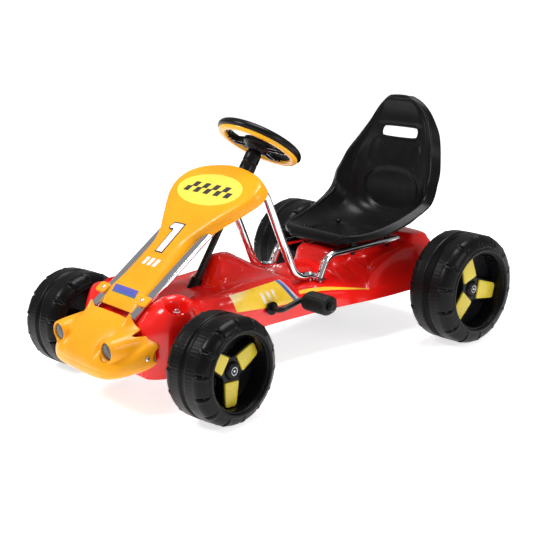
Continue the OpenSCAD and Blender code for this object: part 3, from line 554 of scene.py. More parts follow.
def rim(side, place, width, opening, face, hub_in, angle, w0, w1, name, body, node):
    """Deep rim: pockets, three raised spokes with a rib along each edge, hub ring and barrel."""
    count = 288
    theta = np.arange(count) * 2 * math.pi / count
    barrel = opening - 3.6
    rr = np.concatenate([[6.1, 10, 17.9, 18.1, 20.5], np.linspace(22, barrel - 1.5, 40), [barrel]])
    turns = spoke_turns(side, angle)
    t, r = np.meshgrid(theta, rr, indexing="ij")
    pocket = face - 17 - 3.0 * np.sin(np.clip((r - 22) / (barrel - 22), 0, 1) * math.pi)
    height = pocket.copy()
    for s in turns:
        d = (t - s + math.pi) % (2 * math.pi) - math.pi
        u, v = r * np.cos(d), np.abs(r * np.sin(d))
        half = w0 / 2 + 3.4 + (w1 - w0) / 2 * np.clip((u - 20) / (barrel - 20), 0, 1) + 3.5 * smooth(u,
                barrel - 16, barrel)
        on = (1 - smooth(v, half - 0.6, half + 2.6)) * (u > 0)
        rib = np.exp(-((v - half + 1.4) / 1.3) ** 2) * 1.1 * (u > 16)
        height = np.maximum(height, pocket + (face - 2.4 - pocket) * on + rib * on)
    hub = 1 - smooth(r, 21.0, 24.5)
    height = np.maximum(height, pocket + (face - 1.8 - pocket) * hub)
    height = np.where(r < 18.0, face - 6.0, height)
    height = np.where(np.abs(r - barrel) < 0.01, pocket[:, -1:] + (height - pocket) * 0.6, height)
    top = np.stack([r * np.cos(t), r * np.sin(t), height], -1)
    half = width / 2
    rest = [(barrel, half - 14), (barrel, half - 6), (opening - 2.4, half - 4.2),
            (opening - 0.5, half - 4.2),
            (opening - 0.5, -half + 4.2), (barrel, -half + 4.2), (barrel, face - 23), (15, face - 23),
            (15, hub_in), (6.1, hub_in)]
    return piece(wheel_band(top, rest, theta, place), name, body, BLACK_RIM, [node],
                 sharp=38)


def inserts(side, place, face, start, length, w0, w1, angle, name, body, node):
    """Three bulged wedges set into the spokes."""
    shape = Shape()
    corner = 4.0
    outline = [(0, -w0 / 2 + 2), (2, -w0 / 2), (length - corner, -w1 / 2), (length, -w1 / 2 + corner),
               (length, w1 / 2 - corner), (length - corner, w1 / 2), (2, w0 / 2), (0, w0 / 2 - 2)]
    closed = outline + [outline[0]]
    soft = []
    for a, b in zip(closed[:-1], closed[1:]):
        soft += [tuple(np.array(a) * (1 - f) + np.array(b) * f) for f in (0.12, 0.5, 0.88)]
    for turn in spoke_turns(side, angle):
        shape.prism(soft, 5.0, place @ Matrix.Rotation(turn, 4, "Z") @ Matrix.Translation((start, 0,
                face - 4.0)),
                    bevel=1.8, crown=1.1)
    return piece(shape, name, body, INSERT_YELLOW, [node], sharp=30)


def cap(place, face, name, body, node):
    """Hub cap with a raised plain ring."""
    z = face - 5.9
    p = place
    line = rounded([(0, z + 10.6), (9, z + 11.0), (14, z + 10.0), (17.6, z + 5), (17.7, z + 0.2),
                    (15.4, z + 0.2)], 3)
    line += [(15.4, z + 4.4), (11, z + 8.4), (0, z + 8.4)]
    piece(Shape().spun(line, p, 64), name, body, BLACK_SATIN, [node], sharp=40)
    ring = [(6.4, z + 10.2), (6.6, z + 11.5), (7.6, z + 11.6), (7.9, z + 10.2)]
    dot = [(0, z + 11.7), (2.0, z + 11.5), (2.6, z + 10.2), (0, z + 10.0)]
    piece(Shape().turned(ring, p, 48).spun(dot, p, 32), name + "_ring", body, ZINC)


def grip_strip(word, place):
    """Serrated rubber strip round the middle of a rear tread."""
    teeth, half, base, tip = 236, 8.8, REAR_R - 4.5, 0.1
    rings = []
    for k in range(teeth * 4):
        a = 2 * math.pi * k / (teeth * 4)
        top = REAR_R - (tip if k % 4 in (0, 1) else 1.5)
        line = [(base, -half), (top - 0.7, -half), (top, -7.6), (top, 7.6), (top - 0.7, half),
                (base, half)]
        rings.append([tuple(place @ Vector((q[0] * math.cos(a), q[0] * math.sin(a), q[1])))
                      for q in line])
    piece(Shape().grid(rings, wrap_rows=True, wrap_cols=True), f"rear_{word}_grip_strip", "rear_wheels",
          BLACK_WHEEL, [f"rear_{word}_strip"], sharp=25)


# Radius of the opening, outer face of the spokes, angle of the first spoke, insert widths at hub and rim
FRONT_OPENING, FRONT_FACE, FRONT_SPOKE, FRONT_INSERT = 74.2, 27, -97, (36, 29)
REAR_OPENING, REAR_FACE, REAR_SPOKE, REAR_INSERT = 84.7, 30.5, -15, (42, 34)
INSERT_START = 21


def wheels():
    for side, word in ((1, "left"), (-1, "right")):
        place = wheel_place(side, FRONT_X, FRONT_AXLE_Y, FRONT_R, REST_STEER)
        body, node = f"front_{word}_wheel", f"front_{word}"
        tyre(place, FRONT_W, FRONT_R, FRONT_OPENING, 24, (11, 4), f"{node}_tread", body, f"{node}_tyre")
        rim(side, place, FRONT_W, FRONT_OPENING, FRONT_FACE, -38, FRONT_SPOKE, *FRONT_INSERT,
            f"{node}_wheel_centre", body, f"{node}_rim")
        inserts(side, place, FRONT_FACE, INSERT_START, 48, *FRONT_INSERT, FRONT_SPOKE,
                f"{node}_wedges", body, f"{node}_inserts")
        cap(place, FRONT_FACE, f"{node}_hub_cap", body, f"{node}_cap")
        place = wheel_place(side, REAR_X, REAR_AXLE_Y, REAR_R)
        body, node = "rear_wheels", f"rear_{word}"
        tyre(place, REAR_W, REAR_R, REAR_OPENING, 26, (19, 4.6), f"{node}_tread", body, f"{node}_tyre")
        rim(side, place, REAR_W, REAR_OPENING, REAR_FACE, -42, REAR_SPOKE, *REAR_INSERT,
            f"{node}_wheel_centre", body, f"{node}_rim")
        inserts(side, place, REAR_FACE, INSERT_START, 58, *REAR_INSERT, REAR_SPOKE,
                f"{node}_wedges", body, f"{node}_inserts")
        cap(place, REAR_FACE, f"{node}_hub_cap", body, f"{node}_cap")
        grip_strip(word, place)


# ---------- surfaces ----------


def normals(g):
    """Unit normals of a grid of points."""
    n = np.cross(np.gradient(g, axis=1), np.gradient(g, axis=0))
    return n / np.maximum(np.linalg.norm(n, axis=2, keepdims=True), 1e-9)


def sheet(grid, thickness, lift=0.0):
    """A closed sheet under a grid whose normal points outwards."""
    g = np.array(grid, float)
    n = normals(g)
    top, low = g + n * lift, g + n * (lift - thickness)
    rows, cols = g.shape[:2]
    o = rows * cols
    faces = grid_faces(rows, cols)
    under = [tuple(o + i for i in reversed(f)) for f in faces]
    ring = ([(0, j) for j in range(cols)] + [(i, cols - 1) for i in range(1, rows)]
            + [(rows - 1, j) for j in range(cols - 2, -1, -1)] + [(i, 0) for i in range(rows - 2, 0, -1)])
    ids = [i * cols + j for i, j in ring]
    side = [(a, b, b + o, a + o) for a, b in zip(ids, ids[1:] + ids[:1])]
    return Shape().add(np.concatenate([top.reshape(-1, 3), low.reshape(-1, 3)]), faces + under + side)


def signed_line(points, a, b):
    """Distance from the points (a, b) to a line, positive on its right-hand side."""
    best = np.full(np.shape(a), 1e9)
    sign = np.ones(np.shape(a))
    for (a0, b0), (a1, b1) in zip(points[:-1], points[1:]):
        da, db = a1 - a0, b1 - b0
        t = np.clip(((a - a0) * da + (b - b0) * db) / (da * da + db * db), 0, 1)
        d = np.hypot(a - a0 - t * da, b - b0 - t * db)
        s = np.sign((b - b0) * da - (a - a0) * db)
        near = d < best
        best, sign = np.where(near, d, best), np.where(near, s, sign)
    return -best * sign


def box_shape(low, high):
    x0, y0, z0 = low
    x1, y1, z1 = high
    p = [(x, y, z) for x in (x0, x1) for y in (y0, y1) for z in (z0, z1)]
    return Shape().add(p, [(0, 1, 3, 2), (4, 6, 7, 5), (0, 4, 5, 1), (2, 3, 7, 6), (0, 2, 6, 4),
                           (1, 5, 7, 3)])


def x_place(x, y, z, side=1):
    return Matrix.Translation((x, y, z)) @ Matrix.Rotation(side * math.pi / 2, 4, "Y")


def rod_along(place, radius, length, segments=32):
    return Shape().spun([(0, 0), (radius, 0), (radius, length), (0, length)], place, segments)


def column_place(up, turned=True):
    place = Matrix.Translation(COLUMN_FOOT + COLUMN_DIR * up) @ Matrix.Rotation(-COLUMN_TILT, 4, "X")
    return place @ Matrix.Rotation(REST_STEER / 0.6, 4, "Z") if turned else place


# ---------- body ----------
# y, middle height, then five points outwards and down
BODY = [
    (-382, 162, 46, 162, 77, 158, 96, 150, 102, 112, 95, 67), (-370, 166, 46, 166, 78, 178, 117, 168, 119,
                                                               118, 104, 64),
    (-350, 168, 46, 168, 78, 196, 134, 190, 145, 125, 115, 62), (-330, 168, 46, 168, 76, 206, 138, 201,
            150, 130, 118, 62),
    (-308, 169, 46, 170, 76, 210, 141, 205, 153, 130, 119, 62), (-284, 171, 46, 172, 76, 207, 136, 200,
            149, 130, 118, 63),
    (-262, 174, 46, 176, 76, 198, 124, 188, 138, 130, 115, 66), (-236, 178, 42, 181, 72, 190, 107, 181,
            117, 132, 108, 73),
    (-206, 183, 36, 187, 62, 187, 98, 183, 106, 138, 100, 84), (-184, 187, 30, 189, 54, 187, 97, 185, 107,
                                                                140, 99, 92),
    (-172, 189, 28, 189, 50, 188, 97, 186, 108, 140, 99, 95), (-160, 201, 26, 199, 47, 188, 98, 188, 109,
                                                               140, 99, 97),
    (-146, 221, 23, 217, 45, 189, 98, 189, 110, 140, 99, 97), (-131, 240, 22, 235, 44, 190, 98, 190, 110,
                                                               140, 99, 97),
    (-112, 243, 22, 236, 44, 190, 98, 191, 110, 140, 99, 97), (-88, 238, 22, 230, 44, 190, 98, 191, 110,
                                                               140, 99, 97),
    (-55, 219, 24, 211, 45, 190, 98, 190, 110, 140, 100, 97), (-30, 204, 28, 198, 48, 189, 98, 188, 110,
                                                               140, 102, 97),
    (-5, 192, 32, 189, 54, 184, 97, 182, 110, 136, 104, 97), (18, 182, 34, 178, 54, 160, 98, 155, 113,
                                                              130, 107, 97),
    (60, 178, 34, 175, 52, 157, 103, 147, 116, 125, 112, 97), (110, 177, 34, 175, 54, 156, 107, 141, 119,
                                                               122, 120, 97),
    (144, 178, 36, 176, 56, 157, 110, 136, 122, 120, 127, 97), (156, 203, 54, 202, 61, 160, 111, 134, 122,
                                                                120, 129, 97),
    (200, 205, 57, 204, 64, 166, 111, 132, 126, 118, 138, 97), (245, 205, 57, 204, 65, 172, 109, 160, 128,
                                                                124, 144, 97),
    (285, 206, 57, 205, 65, 176, 106, 178, 130, 132, 147, 97), (345, 207, 57, 206, 66, 180, 107, 188, 132,
                                                                142, 150, 97),
    (366, 210, 74, 209, 94, 208, 109, 204, 132, 146, 150, 97), (412, 208, 72, 207, 94, 205, 106, 201, 128,
                                                                145, 146, 97),
    (430, 196, 68, 194, 88, 190, 99, 184, 122, 138, 138, 98),
]
CREASE = [(-100, 140), (7, 143), (85, 135), (200, 117), (304, 111), (430, 108)]
HAUNCH = [(197, 120), (212, 137), (228, 150), (262, 165), (296, 177), (340, 184), (430, 186)]


def body_half(row, rounds=4):
    return cut([(0, row[1])] + [(row[2 + 2 * k], row[3 + 2 * k]) for k in range(5)], rounds)


def body_rows(spacing=3.0, rounds=4):
    gaps = [max(1, round((b[0] - a[0]) / spacing)) for a, b in zip(BODY[:-1], BODY[1:])]
    return spline(BODY, gaps), rounds


def section_normals(half):
    d = np.gradient(half, axis=0)
    n = np.stack([-d[:, 1], d[:, 0]], 1)
    n /= np.linalg.norm(n, axis=1, keepdims=True)
    return n


def body_relief(y, half):
    """Outward relief of a half section at y."""
    x, z = half[:, 0], half[:, 1]
    side = smooth(x, 60, 72)
    yy = np.full_like(z, y)
    crease = np.interp(y, [c[0] for c in CREASE], [c[1] for c in CREASE])
    low = smooth(y, -130, -90) * smooth(x, 98, 104)
    out = low * (1.3 * np.exp(-((z - crease) / 2.6) ** 2) - 0.8
                 * np.exp(-((z - crease + 6.5) / 4.5) ** 2))
    # Raised haunch in front of the rear wheel
    inside = signed_line(HAUNCH, yy, z)
    out += side * smooth(y, 190, 204) * smooth(z, crease - 1, crease + 3) * smooth(inside, -2.0,
            2.6) * 2.8
    # Two facets pressed into the seat block
    for a, b, c, deep in (((214, 183), (258, 176), (229, 148), 3.0), ((168, 176), (207, 182), (196, 140),
            2.2)):
        d = np.minimum(np.minimum(signed_line([a, b], yy, z), signed_line([b, c], yy, z)),
                       signed_line([c, a], yy, z))
        out -= smooth(d, 0, 5) * deep * smooth(x, 55, 60)
    # Step round the edge of the flank panel
    out += smooth(y, -150, -144) * (1 - smooth(y, 10, 26)) * smooth(x, 90, 100) * 0.9 * (1 - smooth(z,
            183, 188))
    # Raised boss round each kingpin cup
    rho = np.hypot(x - abs(KINGPIN.x), y - FRONT_AXLE_Y)
    out += 6.0 * (1 - smooth(rho, 26, 92)) * smooth(z, 176, 198)
    # Shallow shelf along the deck
    out -= 1.2 * np.exp(-((x - 86) / 3.0) ** 2) * smooth(y, -150, -120) * (1 - smooth(y, -5, 20))
    return out


def body_outer():
    rows, rounds = body_rows()
    halves = []
    for row in rows:
        half = body_half(row, rounds)
        halves.append((row[0], half + section_normals(half) * body_relief(row[0], half)[:, None]))
    # Rounded ends
    first, last = halves[0], halves[-1]
    soft = [(math.radians(a), 5.0) for a in (80, 60, 40, 20)]

    def shrink(half, k):
        mid = np.array([0, 130])
        return mid + (half - mid) * (1 - k / 70)

    tail = [(last[0] - 5 + 5 * math.sin(a), shrink(last[1], r * (1 - math.cos(a)))) for a,
            r in reversed(soft)]
    head = [(first[0] + 5 - 5 * math.sin(a), shrink(first[1], r * (1 - math.cos(a)))) for a, r in soft]
    keep = [h for h in halves if first[0] + 4 < h[0] < last[0] - 4]
    return head + keep + tail


def closed_section(half):
    left = half[1:][::-1] * np.array([-1, 1])
    return np.concatenate([left, half])


def body_shell():
    outer = body_outer()
    grid = [[(p[0], y, p[1]) for p in closed_section(half)] for y, half in outer]
    shell = loose(Shape().grid(grid, wrap_cols=True, caps=True), "body_shell_skin")
    rows = []
    for row in body_rows(8.0, 2)[0]:
        half = body_half(row, 2)
        inner = half - section_normals(half) * 4.4
        inner[0, 0] = 0
        inner[-1, 1] -= 9
        y = min(max(row[0], BODY[0][0] + 4.2), BODY[-1][0] - 4.2)
        if not rows or y > rows[-1][0] + 0.5:
            rows.append((y, inner))
    hollow = loose(Shape().grid([[(p[0], y, p[1]) for p in closed_section(half)] for y, half in rows],
                                wrap_cols=True, caps=True), "hollow")
    for s in (-1, 1):
        place = Matrix.Translation((s * KINGPIN.x, FRONT_AXLE_Y, 172))
        carve(hollow, rod_along(place, 33, 60, 64))
    boolean(shell, hollow, "DIFFERENCE")
    scoop = [(0, 176), (19.5, 176), (20.6, 177.2), (20.9, 196), (21.6, 201), (23.4, 205), (26.5, 208),
             (31, 210.2),
             (38, 212.5), (38, 240), (0, 240)]
    for s in (-1, 1):
        carve(shell, Shape().spun(scoop, Matrix.Translation((s * KINGPIN.x, FRONT_AXLE_Y, 0)), 72))
        lean = Vector((s * 0.36, -0.26, 0.90)).to_track_quat("Z", "Y").to_matrix().to_4x4()
        tilted = [(0, 0), (15, 0), (18, 1.2), (19.6, 4), (20.2, 20), (21.2, 26), (23.6, 30), (28, 33),
                  (36, 36), (36, 70), (0, 70)]
        place = Matrix.Translation((s * KINGPIN.x, FRONT_AXLE_Y, 179)) @ lean
        carve(shell, Shape().spun(tilted, place, 72))
        bolt = Matrix.Translation((s * KINGPIN.x, FRONT_AXLE_Y, 160))
        carve(shell, rod_along(bolt, 5.3, 40))
        low = (s * 140 - 45, FRONT_AXLE_Y - 32, 40)
        carve(shell, box_shape(low, (low[0] + 90, low[1] + 105, 132)))
    carve(shell, rod_along(column_place(-45, False), 12.3, 80, 48))
    for y, z in ((CRANK.y, CRANK.z), (REAR_AXLE_Y, REAR_R)):
        carve(shell, rod_along(x_place(-180, y, z), 11.3, 360, 48))
    for x, y in ((TUBE_X, 81), (-TUBE_X, 81), (RAIL_X, 98), (-RAIL_X, 98)):
        carve(shell, rod_along(Matrix.Translation((x, y, 120)), 3.3, 60))
    piece(shell, "body_shell_skin", "chassis", RED, ["body_shell"], sharp=32)


FLANK = body_outer()


def flank_x(y, z):
    """Half width of the flank at a height."""
    k = int(np.argmin([abs(f[0] - y) for f in FLANK]))
    k2 = min(k + 1, len(FLANK) - 1) if FLANK[k][0] <= y else max(k - 1, 0)

    def one(half):
        top = int(np.argmax(np.where(half[:, 0] > 92, half[:, 1], -1)))
        part = half[top:]
        return np.interp(z, part[::-1, 1], part[::-1, 0])

    a, b = FLANK[k], FLANK[k2]
    t = 0 if k == k2 else (y - a[0]) / (b[0] - a[0])
    return one(a[1]) * (1 - t) + one(b[1]) * t


def flank_film(side, outline, name, material, rows=40, cols=14):
    """Thin film on the flank between two lines of (y, z): outline = (upper, lower)."""
    upper, lower = outline
    grid = []
    for t in np.linspace(0, 1, rows):
        a = spline(upper, 8)[min(int(t * (8 * (len(upper) - 1))), 8 * (len(upper) - 1))]
        b = spline(lower, 8)[min(int(t * (8 * (len(lower) - 1))), 8 * (len(lower) - 1))]
        grid.append([(side * flank_x(q[0], q[1]), q[0], q[1])
                     for q in (a + (b - a) * f for f in np.linspace(0, 1, cols))])
    g = np.array(grid)
    if side > 0:
        g = g[::-1]
    n = normals(g).mean((0, 1))
    if n[0] * side < 0:
        g = g[::-1]
    return piece(sheet(g, 0.7, 0.45), name, "chassis", material)


# ---------- nose ----------
# x, bottom rear y and z, front y, top rear y and z
NOSE = [
    (0, -404, 74, -470, -386, 181), (30, -404, 74, -470, -386, 181), (58, -403, 75, -469, -385, 178),
    (82, -400, 78, -465, -381, 168), (102, -394, 84, -452, -376, 155), (117, -385, 92, -426, -371, 146),
    (126, -376, 100, -398, -367, 140), (130, -372, 106, -382, -367, 134),
]
EYE = Vector((83, -449, 136))


def nose_line(row):
    yb, zb, yf, yt, zt = row[1:]
    h = zt - zb
    return cut([(yb, zb), (yf + 10, zb + 1), (yf, zb + 0.2 * h), (yf + (yt - yf) * 0.14, zb + 0.52 * h),
                (yf + (yt - yf) * 0.62, zb + 0.9 * h), (yt, zt)], 5)


def eye_place(s, forward=0.0):
    """Place of the eye on side s, with Z pointing forwards."""
    return Matrix.Translation((s * EYE.x, EYE.y - forward, EYE.z)) @ Matrix.Rotation(math.pi / 2, 4, "X")


def nose_relief(x, y, z):
    """Moves the nose surface for eyes, dimples, fins and the chin."""
    ax = np.abs(x)
    rho = np.hypot(ax - EYE.x, z - EYE.z)
    ring = -451.2 + 0.8 * np.maximum(rho - 20.5, 0) + 1.3 * np.maximum(rho - 20.5, 0) ** 2
    k = 3.0
    blend = -k * np.log(np.exp(-np.clip(y / k, -600, 600) - 150) + np.exp(-np.clip(ring / k, -600, 600)
            - 150)) - 150 * k
    y = np.where(rho < 34, np.minimum(blend, y), y)
    # Dimples beside each eye
    for dx, dz, deep, wide, tall in ((-29, -4, 9.0, 6.5, 14), (30, 4, 7.0, 5.5, 12)):
        d = np.exp(-(((ax - EYE.x - dx) / wide) ** 2 + ((z - EYE.z - dz) / tall) ** 2))
        y = y + deep * d * (z > 84)
    # Pointed fins at the rear top corners
    fin = np.exp(-(np.abs(ax - 66) / 6.5) ** 1.7) * smooth(y, -408, -380) ** 1.5 * smooth(z, 140, 160)
    z = z + 15.5 * fin
    # Sunk mark in the middle of the top and a soft chin line
    r = np.hypot(ax, y + 414)
    z = z - 1.6 * np.exp(-((r - 4.2) / 1.1) ** 2) * (z > 150)
    y = y + 0.6 * np.exp(-((z - 99) / 2.4) ** 2) * (1 - smooth(ax, 84, 108))
    return x, y, z


def nose_grid():
    rows = spline(NOSE, [10, 10, 16, 16, 14, 12, 8])
    full = np.concatenate([rows[:0:-1] * np.array([-1, 1, 1, 1, 1, 1]), rows])
    g = np.array([[(n[0], q[0], q[1]) for q in nose_line(n)] for n in full])
    x, y, z = nose_relief(g[..., 0], g[..., 1], g[..., 2])
    return np.stack([x, np.maximum(y, -472.5), z], -1)


def nose():
    g = nose_grid()
    if normals(g)[len(g) // 2, 40, 1] > 0:
        g = g[::-1]
    n = normals(g)
    lower = g - n * WALL
    turn = np.linspace(0, math.pi, 7)[1:-1]
    loops = []
    for a, b in zip(g, lower):
        start, end = (a[0] + b[0]) / 2, (a[-1] + b[-1]) / 2
        out0 = (a[0] - a[1]) / np.linalg.norm(a[0] - a[1])
        out1 = (a[-1] - a[-2]) / np.linalg.norm(a[-1] - a[-2])
        r0, r1 = (a[0] - b[0]) / 2, (a[-1] - b[-1]) / 2
        cap1 = [end + r1 * math.cos(t) + out1 * (WALL / 2) * math.sin(t) for t in turn]
        cap0 = [start - r0 * math.cos(t) + out0 * (WALL / 2) * math.sin(t) for t in turn]
        loops.append(np.concatenate([a, cap1, b[::-1], cap0]))
    shell = loose(Shape().grid(loops, wrap_cols=True, caps=True), "nose_skin")
    for s in (-1, 1):
        place = eye_place(s)
        well = [(0, -2), (17, -2), (17, 0.6), (17.5, 1.6), (18.6, 2.6), (19.6, 6), (22, 30), (0, 30)]
        carve(shell, Shape().spun(well, place, 72))
        carve(shell, rod_along(place @ Matrix.Translation((0, 0, -19)), 14, 24, 64))
        carve(shell, rod_along(x_place(s * 112, -392, 118, s), 2.7, 24))
    piece(shell, "nose_skin", "chassis", YELLOW, ["nose_bumper"], sharp=38)


def eye_rims():
    """Soft bead round each eye, with the closed cup behind the lens."""
    shape = Shape()
    line = [(0, -9), (19.4, -9), (20.2, -2), (20.3, 1.2), (19.8, 2.6), (18.8, 3.2), (17.8, 2.8),
            (17.1, 1.6),
            (16.9, 0), (16.9, -7), (0, -7)]
    for s in (-1, 1):
        shape.spun(line, eye_place(s), 72)
    piece(shape, "nose_eye_rims", "chassis", YELLOW, sharp=50)


def kingpin_nuts():
    shape = Shape()
    for s in (-1, 1):
        place = Matrix.Translation((s * KINGPIN.x, FRONT_AXLE_Y, 182)) @ Matrix.Rotation(0.3, 4, "Z")
        hexagon = [(8.6 * math.cos(a), 8.6 * math.sin(a)) for a in np.linspace(0, 2 * math.pi, 6,
                endpoint=False)]
        shape.prism(subdivided(hexagon, 4), 7.0, place, bevel=1.0)
        shape.spun([(0, 6.5), (4.6, 6.5), (4.6, 10.4), (3.8, 11.2), (0, 11.2)], place, 32)
    piece(shape, "kingpin_nuts", "chassis", ZINC, sharp=30)


def lenses():
    shape = Shape()
    for s in (-1, 1):
        line = [(0, -3), (13.4, -3), (13.4, 0), (16.6, 0), (16.7, 0.5), (16.3, 1.0)]
        # Faint steps of a moulded reflector
        line += [(16.3 - 16.3 * t, 1.0 + 2.1 * math.sin(t * math.pi / 2) + 0.12 * math.cos(t * 44))
                 for t in np.linspace(0.06, 1, 34)]
        line[-1] = (0, line[-1][1])
        shape.spun(line, eye_place(s, -1.8), 72)
    piece(shape, "headlight_domes", "chassis", GREY_LENS, ["headlight_lenses"], sharp=50)


# ---------- cowl ----------
# Along the middle from the foot to the head: y, z, half width of the top, half width of the edge, depth
COWL = [
    (-371, 186, 50, 56, 12), (-358, 201, 54, 58, 13), (-344, 214, 54, 58, 14), (-330, 224, 51, 58, 14),
    (-314, 235, 47, 58, 14), (-292, 250, 44, 57, 14), (-262, 275, 38, 55, 14), (-244, 289.5, 38, 56, 15),
    (-230, 301, 46, 58, 17), (-217, 311.5, 57, 62, 22), (-206, 321, 68, 72, 25), (-192, 333, 80, 83, 26),
    (-178, 344.5, 92, 96, 26), (-164, 355, 104, 109, 26), (-146, 368, 117, 123, 26), (-122, 384.5, 125,
            132, 28),
    (-98, 399, 118, 127, 27), (-82, 408, 98, 106, 25), (-74, 412.5, 72, 80, 22), (-69, 415.5, 42, 50, 18),
    (-67, 417, 16, 22, 16),
]
COWL_ROWS = spline(COWL, 6)
COWL_S = np.concatenate([[0], np.cumsum(np.hypot(np.diff(COWL_ROWS[:, 0]), np.diff(COWL_ROWS[:, 1])))])


def cowl_along(y):
    """Distance along the middle line to a y."""
    return float(np.interp(y, COWL_ROWS[:, 0], COWL_S))


def cowl_frame(s):
    """At a distance along the middle line: its point, the outward normal, and (top, edge, depth)."""
    y, z, w, v, h = (np.interp(s, COWL_S, COWL_ROWS[:, k]) for k in range(5))
    y1, z1 = (np.interp(s + 4, COWL_S, COWL_ROWS[:, k]) for k in range(2))
    y0, z0 = (np.interp(s - 4, COWL_S, COWL_ROWS[:, k]) for k in range(2))
    d = np.array([y1 - y0, z1 - z0])
    d /= np.linalg.norm(d)
    return np.array([0, y, z]), np.array([0, -d[1], d[0]]), (w, v, h)


def cowl_section(w, v, h, rounds=5):
    return cut([(0, 0), (w * 0.6, -0.4), (w * 0.98, -1.4), (w * 0.4 + v * 0.6 + 1, -h * 0.5), (v, -h)],
               rounds)


def cowl_point(x, s, lift=0.0):
    p, n, size = cowl_frame(s)
    q = cowl_section(*size)
    return p + n * (np.interp(abs(x), q[:, 0], q[:, 1]) + lift) + np.array([x, 0, 0])


def cowl():
    grid = []
    for s in np.linspace(0, COWL_S[-1], 150):
        p, n, size = cowl_frame(s)
        half = [p + n * b + np.array([a, 0, 0]) for a, b in cowl_section(*size)]
        grid.append([v * np.array([-1, 1, 1]) for v in half[:0:-1]] + half)
    g = np.array(grid)
    if normals(g)[60, g.shape[1] // 2, 2] < 0:
        g = g[:, ::-1]
    shell = loose(sheet(g, WALL), "cowl_skin")
    for s in (-1, 1):
        ear = Matrix.Translation((s * 62, -346, 198.6)) @ Matrix.Rotation(math.radians(34), 4, "X")
        outline = [(14 * math.cos(a), 11 * math.sin(a)) for a in np.linspace(0, 2 * math.pi, 32,
                endpoint=False)]
        outline = [(s * 8 + max(min(x * 1.35, 15.5), -15.5), max(min(y * 1.25, 11.5), -11.5)) for x,
                   y in outline]
        plate = Shape().prism(outline, 4.0, ear @ Matrix.Translation((0, 0, TUBE_R + 0.3)), bevel=1.2)
        boolean(shell, loose(plate, "ear"), "UNION")
    for s in (-1, 1):
        path = [(s * TUBE_X, y, z) for y, z in ((-378, 177), (-52, 397), (39, 167), (92, 165))]
        carve(shell, Shape().sweep(fillet(path, 40), TUBE_R + 0.35, 32))
        place = Matrix.Translation((s * 66, -346, 198.6)) @ Matrix.Rotation(math.radians(34), 4, "X")
        carve(shell, rod_along(place, 2.7, 40))
    piece(shell, "cowl_skin", "chassis", YELLOW, ["dash_cowl"], sharp=38)


def cowl_film(outline, s_mid, name, material, lift, steps=12):
    """Thin film on the cowl; outline is (x, along) round the middle at s_mid."""
    o = np.array(outline, float)
    mid = o.mean(0)
    rings = [[cowl_point(*(mid + (q - mid) * f + np.array([0, s_mid])), lift) for q in o]
             for f in np.linspace(0.02, 1, steps)]
    g = np.array(rings)
    n = normals(g)
    if n[steps // 2, 3, 2] < 0:
        g = g[:, ::-1]
    closed = np.concatenate([g, g[:, :1]], 1)
    top = closed[:, :-1]
    low = top - np.array([0, -0.5, 0.8]) * (0.6 + lift)
    loop = np.concatenate([top, low[::-1]], 0)
    return piece(Shape().grid(loop, wrap_rows=True, wrap_cols=True), name, "chassis",
                 material, sharp=60)


def subdivided(outline, n=6):
    o = [np.array(p, float) for p in outline]
    return [tuple(a + (b - a) * k / n) for a, b in zip(o, o[1:] + o[:1]) for k in range(n)]


def cowl_graphics():
    label_s = cowl_along(-131)
    oval = [(97 * math.cos(a), 43 * math.sin(a)) for a in np.linspace(0, 2 * math.pi, 96, endpoint=False)]
    cowl_film(oval, label_s, "cowl_label", LABEL_YELLOW, 0.35)
    # Plain racing checks where a maker's lettering would be
    for row in range(2):
        for k in range(9):
            if (row + k) % 2 == 0:
                x, t = -72 + k * 16, -14 + row * 14
                box = [(x, t), (x + 16, t), (x + 20, t + 14), (x + 4, t + 14)]
                cowl_film(subdivided(box, 4), label_s, f"cowl_check_{row}_{k}", INK_BLACK, 0.75, 5)
    one_s = cowl_along(-262)
    one = [(-10, 0), (9, 0), (14, 71), (-17, 70), (-22, 60), (-19, 57), (-8, 59), (-6, 54)]
    fat = [(-12.6, -2.8), (11.8, -2.8), (17.2, 73.8), (-19, 72.8), (-25, 59.5), (-19.5, 53.8),
           (-9.8, 54.6), (-9, 48)]
    for outline, name, ink, lift in ((fat, "cowl_number_edge", INK_BLACK, 0.35), (one, "cowl_number",
            INK_WHITE, 0.6)):
        stem = [outline[0], outline[1], outline[2], (outline[7][0], outline[2][1])]
        flag = [(outline[7][0] + 0.5, outline[2][1]), outline[3], outline[4], outline[5], outline[6],
                outline[7]]
        for k, part in enumerate((stem, flag)):
            cowl_film(subdivided(part, 5), one_s, f"{name}_{k}", ink, lift, 6)
    foot_s = cowl_along(-346)
    cowl_film(subdivided([(-39, -9), (39, -9), (35, 9), (-43, 9)], 8), foot_s, "cowl_stripe", STRIPE_BLUE,
              0.35, 8)
    # Generic slanted bars above the stripe
    mark_s = cowl_along(-283)
    for k in range(3):
        x = -24 + 17 * k
        cowl_film(subdivided([(x, -8), (x + 10, -8), (x + 14, 10), (x + 4, 10)], 4), mark_s,
                  f"cowl_bar_{k}", INK_WHITE, 0.35, 5)


# ---------- seat ----------
# Middle line from the front lip to the top: y, z, half width, side height, side lean
SEAT = [
    (150, 224, 70, 0, 0), (156, 236, 84, 0, 0), (172, 238, 100, 2, 0), (190, 228, 110, 12, 0),
    (230, 218, 120, 26, 0), (285, 214, 128, 42, 0), (340, 215, 133, 58, -4), (378, 222, 136, 62, -20),
    (400, 240, 137, 56, -32), (409, 270, 138, 40, -36), (412, 310, 138, 18, -34), (418, 345, 134, 5, -28),
    (427, 378, 124, 0, -24), (437, 408, 108, 0, -16), (446, 440, 90, 0, -10), (450, 468, 76, 0, -6),
    (448, 490, 58, 0, -3), (443, 503, 34, 0, -1), (440, 507.9, 10, 0, 0),
]
SEAT_T = 5.0


